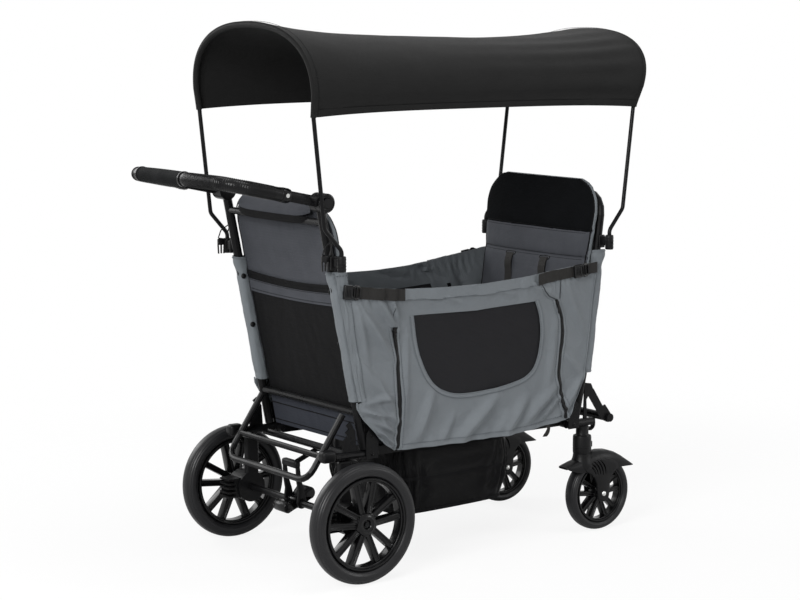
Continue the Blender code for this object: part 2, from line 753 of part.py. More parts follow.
def make_front_release():
    px, pz = FRONT_LEVER_PIVOT
    bar_x, bar_z = 0.868, 0.302
    y = POST_Y - 0.004 / 2 - GAP - 0.005 / 2
    leg_outline = (
        arc((px, pz), 0.010, 60, 215, 6)
        + [(bar_x - 0.022, bar_z - 0.004)]
        + arc((bar_x, bar_z), 0.013, 250, 380, 5)
        + [(bar_x - 0.012, bar_z + 0.036), (bar_x - 0.020, bar_z + 0.032), (px + 0.020, pz - 0.006)]
    )
    hole = circle((px, pz), LEVER_PIN_R + GAP, 16)
    legs = [upright_plate([leg_outline, hole], 0.005, sign * y) for sign in (-1, 1)]
    bar = tube([at(bar_x, -y - 0.010, bar_z), at(bar_x, y + 0.010, bar_z)], 0.0115)
    low = POST_Y - 0.067
    loop = tube(
        rounded_route(
            [
                at(bar_x, -low, bar_z),
                at(bar_x + 0.004, -low, bar_z - 0.044),
                at(bar_x + 0.004, low, bar_z - 0.044),
                at(bar_x, low, bar_z),
            ],
            0.020,
            4,
        ),
        0.006,
        8,
    )
    lever = weld(bar, legs[0], legs[1], loop)
    place_part(smooth(lever), "front_release_bar", "front_release", POWDER_COAT)


def make_rear_release():
    pivot_x, pivot_z = REAR_LEVER_PIVOT
    slope = 0.69
    top_z, bar_z = 0.398, 0.245
    top = at(pivot_x + slope * (top_z - pivot_z), 0, top_z)
    low = at(pivot_x + slope * (bar_z - pivot_z), 0, bar_z)
    side = Vector((0, LEVER_Y, 0))
    hoop = tube(rounded_route([top - side, low - side, low + side, top + side], 0.035, 4), LEVER_R, 10)
    cross_half = LEVER_Y - LEVER_R * 0.5
    cross = tube([at(pivot_x, -cross_half, pivot_z), at(pivot_x, cross_half, pivot_z)], LEVER_R * 0.9, 10)
    bores = []
    for sign in (-1, 1):
        start, end = LEVER_Y - LEVER_R - 0.003, LEVER_Y + LEVER_R + 0.003
        middle = at(pivot_x, sign * (start + end) / 2, pivot_z)
        bores.append(cylinder(LEVER_PIN_R + GAP, end - start, middle, (0, 1, 0), 16))
    lever = cut(weld(hoop, cross), *bores)
    place_part(smooth(lever), "rear_release_bar", "rear_release", POWDER_COAT)


# Floor: two pairs of rails that nest side by side, and a board on each
BOARD_T = 0.008
BOARD_HALF_W = POST_Y - 0.015
FLOOR_CROSS_IN = 0.140


def floor_rail(x0, x1, y, bores):
    outline = arc((x0, RAIL_Z), RAIL_R, 90, 270, 8) + arc((x1, RAIL_Z), RAIL_R, -90, 90, 8)
    holes = [circle((x, RAIL_Z), PIN_R + GAP, 12) for x in bores]
    return upright_plate([outline] + holes, RAIL_W, y)


def floor_half(name, body, side, y, cross_x):
    side = as_mesh(side)
    other_side = mirrored(side)
    span = 2 * y - RAIL_W + 0.006
    cross = cylinder(0.008, span, at(cross_x, 0, RAIL_Z - 0.001), (0, 1, 0), 12)
    place_part(smooth(weld(side, cross, other_side)), name, body, POWDER_COAT)


def make_floor():
    rear_rail = floor_rail(REAR_FOLD_X, MID_FOLD_X, REAR_RAIL_Y, [REAR_FOLD_X])
    pin_in = FRONT_RAIL_Y - RAIL_W / 2 - 0.003
    pin = across(PIN_R, pin_in, REAR_RAIL_Y, MID_FOLD_X, RAIL_Z)
    floor_half("rear_floor_frame", "rear_floor", weld(rear_rail, pin), REAR_RAIL_Y, REAR_FOLD_X + FLOOR_CROSS_IN)
    front_rail = floor_rail(MID_FOLD_X, FRONT_FOLD_X, FRONT_RAIL_Y, [MID_FOLD_X, FRONT_FOLD_X])
    floor_half("front_floor_frame", "front_floor", front_rail, FRONT_RAIL_Y, FRONT_FOLD_X - FLOOR_CROSS_IN)
    seat_z = RAIL_Z + RAIL_R + GAP + BOARD_T / 2
    start, middle, end = REAR_FOLD_X + 0.050, MID_FOLD_X, FRONT_FOLD_X - 0.050
    for name, body, x0, x1 in (
        ("rear_floor_board", "rear_floor", start, middle - 0.0015),
        ("front_floor_board", "front_floor", middle + 0.0015, end),
    ):
        board = box((x1 - x0, 2 * BOARD_HALF_W, BOARD_T), at((x0 + x1) / 2, 0, seat_z), 0.0015)
        place_part(board, name, body, DARK_CLOTH)


# Seats
def cushion_rise(u, v):
    # crown of a stuffed panel: full in the middle, falling to the seam all round
    return (1 - abs(2 * u - 1) ** 3) * (1 - abs(2 * v - 1) ** 3)


def seat_back(name, body, post_x, front_side, top_z):
    # front_side is +1 where the sitter faces +X
    seam = 0.012
    corner = 0.085
    height = top_z - BACK_BOTTOM_Z
    skin = SLEEVE_R * 1.03 + RUN

    def place(u, v, side):
        z = BACK_BOTTOM_Z + height * v
        above = z - (top_z - corner)
        half = BACK_HALF_W - 0.006 * math.sin(math.pi * min(v / 0.8, 1))
        if above > 0:
            half -= corner - math.sqrt(max(corner**2 - above**2, 0))
        y = (2 * u - 1) * half
        lean_x = post_x(z)
        front = skin + seam + (BACK_THICK - seam) * cushion_rise(u, v)
        depth = front if side else skin
        return at(lean_x + front_side * depth, y, z)

    pad = formed_block(8, 10, place)
    place_part(smooth(pad, 60), name, body, DARK_CLOTH)


def seat_base(name, body, pivot_x, front_side):
    # front_side is +1 where the base reaches out towards +X
    edge = 0.005 + RUN
    top = SEAT_PIVOT_Z + 0.015
    seam = 0.014

    def place(u, v, side):
        narrow = 0.004 * math.sin(math.pi * v)
        y = (2 * u - 1) * (SEAT_HALF_W - narrow)
        round_in = 0.018 * max(0, v - 0.8) / 0.2 * abs(2 * u - 1) ** 6
        x = pivot_x + front_side * (edge + (SEAT_DEPTH - edge) * v - round_in)
        rise = cushion_rise(u, v)
        if side:
            return at(x, y, top - 0.012 + 0.012 * rise)
        return at(x, y, top - SEAT_THICK + (SEAT_THICK - 0.012 - seam) * (1 - rise) * 0.5)

    pad = formed_block(8, 5, place)
    place_part(smooth(pad, 60), name, body, DARK_CLOTH)


def make_seats():
    seat_back("rear_seat_back", "rear_frame", rear_post_x, 1, REAR_BACK_TOP_Z)
    seat_back("front_seat_back", "front_frame", front_post_x, -1, FRONT_BACK_TOP_Z)
    seat_base("rear_seat_base", "rear_seat_base", REAR_SEAT_PIVOT_X, 1)
    seat_base("front_seat_base", "front_seat_base", FRONT_SEAT_PIVOT_X, -1)


# Handle
ARM_TALL = 0.013
ARM_WIDE = 0.0065
HUB_BUTTON_R = 0.012
HUB_BUTTON_TRAVEL = 0.004
SNAP_R = 0.005
SNAP_LONG = 0.0065
SNAP_PROUD = 0.0015
SNAP_TRAVEL = 0.0015
ARM_DIR = Vector((-math.cos(HANDLE_RISE), 0, math.sin(HANDLE_RISE)))


def on_arm(reach, y):
    return at(HUB_X, y, HUB_Z) + ARM_DIR * reach


def arm_bar(start, end, y, tall, wide, sides=16):
    bar = cylinder(tall, end - start, on_arm((start + end) / 2, y), ARM_DIR, sides, wide / tall)
    return bar


def make_handle():
    post_out = POST_Y + TUBE_R
    disc_in = post_out + GAP
    disc_out = HANDLE_Y + 0.0105
    disc = across(HUB_R - 0.0005, disc_in, disc_out, HUB_X, HUB_Z, 24)
    arm_end = SLEEVE_START + 0.100
    arm = weld(disc, arm_bar(0.010, arm_end, HANDLE_Y, ARM_TALL, ARM_WIDE))
    well = across(HUB_BUTTON_R + RUN, disc_in - 0.01, disc_out + 0.01, HUB_X, HUB_Z, 24)
    left_and_right(cut(arm, well), "handle_arm", "handle_arms", POWDER_COAT)

    button_in = disc_in + HUB_BUTTON_TRAVEL + 0.002
    button_out = disc_out + HUB_BUTTON_TRAVEL + 0.0005
    button = across(HUB_BUTTON_R, button_in, button_out, HUB_X, HUB_Z, 24)
    left_and_right(button, "hub_button", ("hub_button_left", "hub_button_right"), PLASTIC)

    corner_r = 0.055
    corners = [
        on_arm(SLEEVE_START, HANDLE_Y),
        on_arm(HANDLE_REACH, HANDLE_Y),
        on_arm(HANDLE_REACH, -HANDLE_Y),
        on_arm(SLEEVE_START, -HANDLE_Y),
    ]
    grip = tube(rounded_route(corners, corner_r, 5), GRIP_R)
    bores = [
        arm_bar(SLEEVE_START - 0.01, arm_end + 0.006, sign * HANDLE_Y, ARM_TALL + GAP, ARM_WIDE + GAP)
        for sign in (-1, 1)
    ]
    snap_out = HANDLE_Y + GRIP_R + SNAP_PROUD
    snap_in = snap_out - SNAP_LONG
    snap_reach = SLEEVE_START + 0.012
    for sign in (-1, 1):
        hole_in, hole_out = snap_in - SNAP_TRAVEL - GAP, snap_out + 0.004
        hole_mid = on_arm(snap_reach, sign * (hole_in + hole_out) / 2)
        bores.append(cylinder(SNAP_R + GAP, hole_out - hole_in, hole_mid, (0, 1, 0), 16))
    place_part(smooth(cut(grip, *bores)), "handle_grip_tube", "handle_grip", POWDER_COAT)
    foam = ring_tube(FOAM_R, GRIP_R + GAP, 2 * 0.150, on_arm(HANDLE_REACH, 0), (0, 1, 0))
    place_part(smooth(as_mesh(foam)), "handle_foam", "handle_grip", FOAM)
    button_mid = on_arm(snap_reach, (snap_in + snap_out) / 2)
    button = cylinder(SNAP_R, SNAP_LONG, button_mid, (0, 1, 0), 16)
    bodies = ("snap_button_left", "snap_button_right")
    left_and_right(button, "handle_snap_button", bodies, CHROME)


# Cloth walls
def make_end_wall(name, body, post_x, front_side, bottom_z):
    # front_side is +1 where the wall lies in front of its posts
    skin = BAR_R + (RUN if front_side > 0 else -0.0002)
    half_w = POST_Y - SLEEVE_R - RUN

    def place(u, v, side):
        z = bottom_z + (WALL_TOP_Z - bottom_z) * v
        z -= 0.012 * math.sin(math.pi * u) * v**4
        y = (2 * u - 1) * half_w
        depth = skin + (CLOTH if side else 0)
        return at(post_x(z) + front_side * depth, y, z)

    wall = formed_block(6, 6, place)
    place_part(smooth(wall, 60), name, body, BLACK_CLOTH)


def sleeve(post_x):
    low = at(post_x(SLEEVE_BOTTOM_Z), POST_Y, SLEEVE_BOTTOM_Z)
    high = at(post_x(SLEEVE_TOP_Z), POST_Y, SLEEVE_TOP_Z)
    bore = (TUBE_R + GAP) / math.cos(math.pi / 16)
    return ring_tube(SLEEVE_R, bore, (high - low).length, (low + high) / 2, high - low, 16)


WINDOW_MID_X = 0.405
WINDOW = [
    (0.202, 0.636),
    (0.212, 0.560),
    (0.236, 0.492),
    (0.272, 0.446),
    (0.338, 0.420),
    (0.455, 0.425),
    (0.552, 0.438),
    (0.588, 0.461),
    (0.606, 0.505),
    (0.612, 0.560),
    (0.606, 0.610),
    (0.593, 0.641),
    (0.400, 0.646),
]


def wall_edges(z):
    # rear and front edges of a side wall at a height
    rear = rear_post_x(z) - 0.014
    front = front_post_x(z) + 0.014
    if z < SLEEVE_BOTTOM_Z:
        share = (SLEEVE_BOTTOM_Z - z) / (SLEEVE_BOTTOM_Z - WALL_BOTTOM_Z)
        rear = rear_post_x(SLEEVE_BOTTOM_Z) - 0.014 + 0.096 * share
        front = front_post_x(SLEEVE_BOTTOM_Z) + 0.014 - 0.082 * share
    return rear, front


def wall_fold(x, z):
    # how far the cloth stands out in its main folds
    drawn = max(0.0, 1 - abs(z - 0.345) / 0.055)
    low_front = 0.005 * drawn * math.sin((x * 0.8 + z * 0.6) * 62) ** 2 * min(1, max(0, (x - 0.30) / 0.1))
    bunch = math.exp(-(((x - 0.10) / 0.035) ** 2) - ((z - 0.385) / 0.05) ** 2)
    rear_bunch = 0.010 * bunch * (0.6 + 0.4 * math.sin((x + z) * 190))
    gather = math.exp(-(((x - 0.09) / 0.06) ** 2) - ((z - 0.66) / 0.04) ** 2)
    return low_front + rear_bunch + 0.004 * gather


def make_side_walls():
    def place(u, v, side):
        z = WALL_BOTTOM_Z + (WALL_TOP_Z - WALL_BOTTOM_Z) * v
        rear, front = wall_edges(z)
        x = rear + (front - rear) * u
        sag = 0.014 * math.sin(math.pi * u) * v**5
        y = WALL_Y + wall_fold(x, z) + (CLOTH if side else 0)
        return at(x, y, z - sag)

    wall = cut(formed_block(18, 8, place), upright_plate([WINDOW], 0.05, WALL_Y))
    buckle_t = 0.008
    buckle_y = WALL_Y + CLOTH / 2 + buckle_t / 2
    buckles = [box((0.044, buckle_t, 0.026), at(x, buckle_y, 0.708), 0.0015) for x in (-0.006, 0.746)]
    wall = weld(wall, sleeve(rear_post_x), sleeve(front_post_x), *buckles)
    left_and_right(wall, "side_wall", "rear_frame", GREY_CLOTH, 60)

    grown = [
        (WINDOW_MID_X + (x - WINDOW_MID_X) * 1.04, 0.54 + (z - 0.54) * 1.07) for x, z in WINDOW
    ]
    mesh_t = 0.0012
    window = upright_plate([grown], mesh_t, WALL_Y - GAP - mesh_t / 2)
    left_and_right(window, "side_window", "rear_frame", MESH_CLOTH)


# Canopy
def bow_side_x(end, z):
    # X of a bow's leg at a height, from the clip to the hem
    foot, out, hem = (-0.0335, -0.083, REAR_HEM_X) if end == "rear" else (0.819, 0.864, FRONT_HEM_X)
    if z <= 0.815:
        return foot
    if z <= 0.870:
        return foot + (out - foot) * (z - 0.815) / 0.055
    return out + (hem - out) * (z - 0.870) / (HEM_Z - 0.870)


def arch_point(angle, half, spring, apex):
    # a rounded arch: angle 0 at the spring line, 90 degrees at the apex
    power = 2 / 2.35
    y = half * abs(math.cos(angle)) ** power * (1 if math.cos(angle) >= 0 else -1)
    z = spring + (apex - spring) * max(0.0, math.sin(angle)) ** power
    return y, z


def bow_route(end):
    hem_x, apex_x, apex_z = (
        (REAR_HEM_X, REAR_APEX_X, REAR_APEX_Z)
        if end == "rear"
        else (FRONT_HEM_X, FRONT_APEX_X, FRONT_APEX_Z)
    )
    foot_x = bow_side_x(end, 0.8)
    leg = [(foot_x, ROD_BOTTOM_Z), (foot_x, 0.815), (bow_side_x(end, 0.87), 0.870), (hem_x, HEM_Z)]
    route = [at(x, ROD_Y, z) for x, z in leg]
    for i in range(ARCH_STEPS + 1):
        y, z = arch_point(math.pi * i / ARCH_STEPS, ROD_Y + BOW_BULGE, SPRING_Z, apex_z)
        share = (z - HEM_Z) / (apex_z - HEM_Z)
        route.append(at(hem_x + (apex_x - hem_x) * share, y, z))
    route += [at(x, -ROD_Y, z) for x, z in reversed(leg)]
    return route


def make_canopy():
    for end in ("rear", "front"):
        bow = tube(bow_route(end), ROD_R, 8)
        place_part(smooth(as_mesh(bow)), end + "_bow", end + "_bow", POWDER_COAT)
        clip_low, clip_high = SLEEVE_TOP_Z + 0.003, 0.804
        post_x = rear_post_x if end == "rear" else front_post_x
        clip_in = POST_Y + TUBE_R + GAP
        clip_out = ROD_Y + 0.010
        foot = bow_side_x(end, 0.8)
        near, far = min(foot, post_x(0.78)) - 0.011, max(foot, post_x(0.78)) + 0.011
        clip = box(
            (far - near, clip_out - clip_in, clip_high - clip_low),
            at((near + far) / 2, (clip_in + clip_out) / 2, (clip_low + clip_high) / 2),
            0.002,
        )
        bore = cylinder(ROD_R + GAP, 0.08, at(foot, ROD_Y, 0.79), sides=12)
        body = "rear_frame" if end == "rear" else "front_frame"
        left_and_right(cut(clip, bore), end + "_canopy_clip", body, PLASTIC)

    lift = ROD_R + CANOPY_GAP

    def place(u, v, side):
        # u runs from hem to hem over the arch, v from the rear bow to the front bow
        thick = CLOTH if side else 0
        middle = 4 * v * (1 - v)
        apex = REAR_APEX_Z + (FRONT_APEX_Z - REAR_APEX_Z) * v - 0.016 * middle + lift + thick
        half = ROD_Y + BOW_BULGE - 0.006 * middle + lift + thick
        hem_half = ROD_Y - 0.004 * middle + lift + thick
        hem = HEM_Z - 0.006 + 0.010 * middle
        drop = 2 / (ARCH_STEPS + 4)
        if u < drop - 0.0001:
            z = hem + (SPRING_Z - hem) * u / drop
            y = hem_half + (half - hem_half) * u / drop
        elif u > 1.0001 - drop:
            z = hem + (SPRING_Z - hem) * (1 - u) / drop
            y = -(hem_half + (half - hem_half) * (1 - u) / drop)
        else:
            y, z = arch_point(math.pi * (u - drop) / (1 - 2 * drop), half, SPRING_Z, apex)
        share = max(0.0, (z - HEM_Z) / (apex - HEM_Z))
        rear_x = REAR_HEM_X + (REAR_APEX_X - REAR_HEM_X) * share - lift
        front_x = FRONT_HEM_X + (FRONT_APEX_X - FRONT_HEM_X) * share + lift
        return at(rear_x + (front_x - rear_x) * v, y, z)

    cloth = formed_block(ARCH_STEPS + 4, 8, place)
    place_part(smooth(cloth, 60), "canopy_cloth", "rear_bow", BLACK_CLOTH)


# Storage bag under the floor
def make_bag():
    x0, x1 = 0.190, 0.585
    half_w = POST_Y - 0.039
    top_z = RAIL_Z - RAIL_R - RUN
    bottom_z = 0.112
    mesh = bpy.data.meshes.new("bag")
    bm = bmesh.new()
    bmesh.ops.create_cone(bm, cap_ends=True, segments=24, radius1=1, radius2=1, depth=1)
    top = [f for f in bm.faces if f.normal.z > 0.9]
    bmesh.ops.delete(bm, geom=top, context="FACES_ONLY")
    upright = [e for e in bm.edges if abs(e.verts[0].co.z - e.verts[1].co.z) > 0.5]
    bmesh.ops.subdivide_edges(bm, edges=upright, cuts=4, use_grid_fill=True)
    for vert in bm.verts:
        angle = math.atan2(vert.co.y, vert.co.x)
        height = vert.co.z + 0.5
        power = 2 / 7
        c, s = math.cos(angle), math.sin(angle)
        across = math.copysign(abs(c) ** power, c)
        side = math.copysign(abs(s) ** power, s)
        belly = 0.008 * math.sin(math.pi * height)
        shrink = 0.016 * (1 - height) ** 3
        x = (x0 + x1) / 2 + across * ((x1 - x0) / 2 + belly - shrink - 0.008)
        y = side * (half_w - shrink)
        z = bottom_z + (top_z - bottom_z) * height
        z += 0.010 * (1 - height) * (across * 0.5 + 0.5) ** 2
        vert.co = at(x, y, z)
    bm.to_mesh(mesh)
    bm.free()
    bag = new_object(mesh)
    wall = bag.modifiers.new("cloth", "SOLIDIFY")
    wall.thickness = 0.0025
    wall.offset = -1
    place_part(smooth(as_mesh(bag), 60), "storage_bag", "rear_frame", MESH_CLOTH)


make_rear_uprights()
make_rear_chassis()
make_axle()
make_axle_clamp_and_brace()
make_brake_pedal()
make_wheels()
make_caster_forks()
make_front_chassis()
make_front_uprights()
make_front_release()
make_rear_release()
make_floor()
make_seats()
make_handle()
make_end_wall("rear_wall", "rear_frame", rear_post_x, 1, REAR_WALL_BOTTOM_Z)
make_end_wall("front_wall", "front_frame", front_post_x, -1, FRONT_WALL_BOTTOM_Z)
make_side_walls()
make_canopy()
make_bag()
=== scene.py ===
import math

import bmesh
import bpy
from mathutils import Matrix, Vector, noise


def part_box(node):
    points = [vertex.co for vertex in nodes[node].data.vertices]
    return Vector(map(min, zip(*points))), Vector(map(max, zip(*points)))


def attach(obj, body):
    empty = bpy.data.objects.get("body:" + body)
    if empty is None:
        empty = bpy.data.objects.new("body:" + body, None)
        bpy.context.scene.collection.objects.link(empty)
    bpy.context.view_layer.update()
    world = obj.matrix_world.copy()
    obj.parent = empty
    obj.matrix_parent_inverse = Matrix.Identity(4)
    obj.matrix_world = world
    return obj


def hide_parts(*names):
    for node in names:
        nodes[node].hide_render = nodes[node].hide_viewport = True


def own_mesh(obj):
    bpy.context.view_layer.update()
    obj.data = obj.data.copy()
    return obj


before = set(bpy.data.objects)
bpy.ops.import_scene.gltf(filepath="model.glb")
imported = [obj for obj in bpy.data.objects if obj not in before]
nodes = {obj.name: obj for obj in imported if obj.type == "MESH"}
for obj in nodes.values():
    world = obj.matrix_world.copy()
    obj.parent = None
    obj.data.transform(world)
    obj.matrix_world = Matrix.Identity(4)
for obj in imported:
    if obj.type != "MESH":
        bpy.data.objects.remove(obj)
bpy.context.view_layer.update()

beamLow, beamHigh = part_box("rear_axle_beam")
axleX = (beamLow[0] + beamHigh[0]) / 2  # every x below is counted forward from the rear axle
sides = {"left": 1, "right": -1}


def at(x, y, z):
    return Vector((axleX + x, y, z))


# Colours and materials


def fromHex(code):
    channels = [int(code[i : i + 2], 16) / 255 for i in (1, 3, 5)]
    linear = [c / 12.92 if c <= 0.04045 else ((c + 0.055) / 1.055) ** 2.4 for c in channels]
    return (*linear, 1.0)


def addNode(tree, kind, links=None, **settings):
    # links gives each input a value, or the output that feeds it
    node = tree.nodes.new("ShaderNode" + kind)
    for name, value in settings.items():
        setattr(node, name, value)
    for socket, value in (links or {}).items():
        if isinstance(value, bpy.types.NodeSocket):
            tree.links.new(value, node.inputs[socket])
        else:
            node.inputs[socket].default_value = value
    return node


def startMaterial(name, roughness, **sockets):
    material = bpy.data.materials.new(name)
    material.use_nodes = True
    shader = material.node_tree.nodes["Principled BSDF"]
    shader.inputs["Roughness"].default_value = roughness
    for socket, value in sockets.items():
        shader.inputs[socket.replace("_", " ")].default_value = value
    return material, material.node_tree, shader


def wovenCloth(
    name, colour, shade, threadMm, roughness, bumpMm=0.25, slubMm=14, sheen=0.02, gloss=0.06, crumpleMm=0.0
):
    # polyester canvas: even threads, a soft sheen and faint cloudiness from the dye
    material, tree, shader = startMaterial(
        name, roughness, Sheen_Weight=sheen, Sheen_Roughness=0.5, Specular_IOR_Level=gloss
    )
    place = addNode(tree, "TexCoord").outputs["Object"]
    threads = None
    for axis in "XYZ":
        # 0.314 m is the wave of scale 1
        scale = 0.314 / (threadMm / 1000)
        wave = addNode(
            tree, "TexWave", {"Vector": place, "Scale": scale, "Distortion": 0.4}, bands_direction=axis
        )
        if threads is None:
            threads = wave.outputs[1]
        else:
            both = addNode(tree, "Math", {0: threads, 1: wave.outputs[1]}, operation="ADD")
            threads = both.outputs[0]
    cloud = addNode(tree, "TexNoise", {"Vector": place, "Scale": 1000 / slubMm, "Detail": 4.0})
    fibre = addNode(tree, "TexNoise", {"Vector": place, "Scale": 1000 / 1.4, "Detail": 2.0})
    blend = addNode(tree, "Math", {0: cloud.outputs[0], 1: fibre.outputs[0]}, operation="ADD")
    share = addNode(tree, "MapRange", {0: blend.outputs[0], 1: 0.7, 2: 1.3})
    tint = addNode(
        tree, "Mix", {0: share.outputs[0], 6: fromHex(shade), 7: fromHex(colour)}, data_type="RGBA"
    )
    tree.links.new(tint.outputs[2], shader.inputs["Base Color"])
    bump = addNode(tree, "Bump", {"Height": threads, "Distance": bumpMm / 1000, "Strength": 0.6})
    if crumpleMm:
        # packed cloth keeps a soft crumple that the folds of the mesh leave out
        form = {"Vector": place, "Scale": 20.0, "Detail": 4.0, "Roughness": 0.45, "Distortion": 0.6}
        crumple = addNode(tree, "TexNoise", form)
        under = addNode(
            tree, "Bump", {"Height": crumple.outputs[0], "Distance": crumpleMm / 1000, "Strength": 1.0}
        )
        tree.links.new(under.outputs[0], bump.inputs["Normal"])
    tree.links.new(bump.outputs[0], shader.inputs["Normal"])
    return material


def netting(name, colour, pitchMm, openShare, roughness=0.75, gloss=0.05):
    # knitted mesh: round-ish holes in rows, drawn coarser than real so that they show
    material, tree, shader = startMaterial(name, roughness, Specular_IOR_Level=gloss)
    place = addNode(tree, "TexCoord").outputs["Object"]
    split = addNode(tree, "SeparateXYZ", {0: place})
    along = addNode(tree, "Math", {0: split.outputs[0], 1: split.outputs[1]}, operation="ADD")
    turn = 2 * math.pi / (pitchMm / 1000)
    rows = []
    for source in (along.outputs[0], split.outputs[2]):
        angle = addNode(tree, "Math", {0: source, 1: turn}, operation="MULTIPLY")
        rows.append(addNode(tree, "Math", {0: angle.outputs[0]}, operation="SINE").outputs[0])
    total = addNode(tree, "Math", {0: rows[0], 1: rows[1]}, operation="ADD")
    edge = 2 - 4 * openShare
    solid = addNode(tree, "MapRange", {0: total.outputs[0], 1: edge + 0.25, 2: edge - 0.25})
    tree.links.new(solid.outputs[0], shader.inputs["Alpha"])
    shader.inputs["Base Color"].default_value = fromHex(colour)
    bump = addNode(tree, "Bump", {"Height": total.outputs[0], "Distance": 0.0003, "Strength": 0.5})
    tree.links.new(bump.outputs[0], shader.inputs["Normal"])
    return material


def grainedSurface(name, colour, shade, grainMm, roughness, bumpMm, gloss=0.5, roughSpread=0.08, metal=0.0):
    # moulded, coated or foamed: a fine grain, and gloss that wanders a little from rubbing
    material, tree, shader = startMaterial(name, roughness, Specular_IOR_Level=gloss, Metallic=metal)
    place = addNode(tree, "TexCoord").outputs["Object"]
    grain = addNode(tree, "TexNoise", {"Vector": place, "Scale": 1000 / grainMm, "Detail": 3.0})
    wear = addNode(tree, "TexNoise", {"Vector": place, "Scale": 22.0, "Detail": 5.0})
    tint = addNode(
        tree, "Mix", {0: wear.outputs[0], 6: fromHex(colour), 7: fromHex(shade)}, data_type="RGBA"
    )
    tree.links.new(tint.outputs[2], shader.inputs["Base Color"])
    span = {0: wear.outputs[0], 1: 0.3, 2: 0.7, 3: roughness - roughSpread, 4: roughness + roughSpread}
    tree.links.new(addNode(tree, "MapRange", span).outputs[0], shader.inputs["Roughness"])
    bump = addNode(tree, "Bump", {"Height": grain.outputs[0], "Distance": bumpMm / 1000, "Strength": 0.5})
    tree.links.new(bump.outputs[0], shader.inputs["Normal"])
    return material


# Oxford weave: dull mid grey in one even tone, soft crumples where it hangs
slateCanvas = wovenCloth(
    "slate_oxford_polyester", "#6d7276", "#676c70", 1.8, 0.6, slubMm=70, sheen=0.05, gloss=0.2, crumpleMm=5.0
)
# its coated back: darker and flat, without a shine
slateLining = wovenCloth("dark_slate_lining", "#3b3d40", "#343639", 1.8, 0.7, slubMm=70, crumpleMm=4.0)
# melange: two close greys in the thread make the tone slightly cloudy
seatCloth = wovenCloth("melange_seat_polyester", "#484a4f", "#414348", 1.5, 0.68, slubMm=40, crumpleMm=2.0)
# the same melange, a step darker and bluer
kickCloth = wovenCloth("dark_kick_panel_polyester", "#363940", "#32343b", 1.6, 0.65, slubMm=60, crumpleMm=2.0)
# deep black cloth that only its creases make readable
blackCanvas = wovenCloth(
    "black_oxford_polyester", "#121213", "#0f0f10", 1.8, 0.72, slubMm=60, gloss=0.04, crumpleMm=2.0
)
# drawn tight over the bows: charcoal, with a faint even shine along the arch
canopyCanvas = wovenCloth(
    "black_canopy_polyester", "#1f1f1f", "#1b1b1b", 1.6, 0.6, slubMm=90, gloss=0.05, crumpleMm=1.5
)
# underside of the canopy: a black lining painted darker still, so that it swallows nearly all light: painted
# shade for the shadow under the canopy
canopyShadedLining = wovenCloth(
    "black_canopy_lining_painted_shade", "#060606", "#050505", 1.6, 0.8, slubMm=90, gloss=0.02, sheen=0.0
)
# thick knit: matte, with a coarse grain
headrestKnit = wovenCloth(
    "black_headrest_knit", "#121315", "#0f1011", 2.4, 0.9, 0.4, slubMm=60, sheen=0.0, gloss=0.02
)
# ribbed tape: worn warm black with a slight shine on the ribs
blackWebbing = wovenCloth(
    "black_polyester_webbing", "#2b2a29", "#252423", 2.2, 0.55, 0.5, slubMm=40, gloss=0.08
)
# threads: small dots of light and shade along a seam
stitchThread = wovenCloth("grey_sewing_thread", "#54585c", "#4b4f53", 0.8, 0.6)
blackThread = wovenCloth("black_sewing_thread", "#0e0e0f", "#0b0b0c", 0.8, 0.6)
# window: dark net that lets a little of the inside through
blackNetting = netting("black_knitted_mesh", "#28282a", 3.2, 0.17)
# bag: closer and blacker, with a dull gleam on its pleats
bagNetting = netting("black_bag_mesh", "#060607", 3.2, 0.03, 0.3, 0.07)
# baked powder on tube: low broad highlights along it
powderCoat = grainedSurface("satin_black_powder_coat", "#0c0c0d", "#101011", 0.9, 0.3, 0.015, 0.11)
# moulded parts: fine grain and dull highlights
blackNylon = grainedSurface("moulded_black_nylon", "#0c0c0d", "#101011", 0.7, 0.42, 0.06, 0.14)
# rims and pedal: small sharp highlights on the edges
glossAbs = grainedSurface("gloss_black_abs", "#080809", "#0b0b0c", 1.5, 0.2, 0.01, 0.2, 0.05)
# tyre: satin dark grey, a wide soft light on the shoulder
tyreRubber = grainedSurface("foamed_pu_tyre", "#18181a", "#1c1c1d", 1.2, 0.36, 0.08, 0.22)
# foam: matte, pitted
gripFoam = grainedSurface("matte_eva_grip", "#0f1011", "#131415", 0.8, 0.8, 0.15, 0.08)
# ridged sleeve: a narrow light on each ridge
gripSleeve = grainedSurface("gloss_grip_sleeve", "#09090a", "#0c0c0d", 1.0, 0.24, 0.02, 0.18, 0.06)
# plated steel: the only bright spots
boltSteel = grainedSurface("zinc_plated_steel", "#c9cac8", "#b4b5b3", 0.6, 0.25, 0.02, metal=1.0)
# floor board: dull dark sheet
boardPlastic = grainedSurface("dark_floor_board", "#1c1d1f", "#222325", 1.2, 0.7, 0.1, 0.1)
# buckles: slightly waxy black
buckleAcetal = grainedSurface("moulded_acetal_buckle", "#0e0e0f", "#131314", 0.7, 0.3, 0.03, 0.2)
# zips: dull teeth
zipCoil = grainedSurface("black_zip_coil", "#0c0c0d", "#111112", 0.5, 0.4, 0.05, 0.15)
print("materials made")

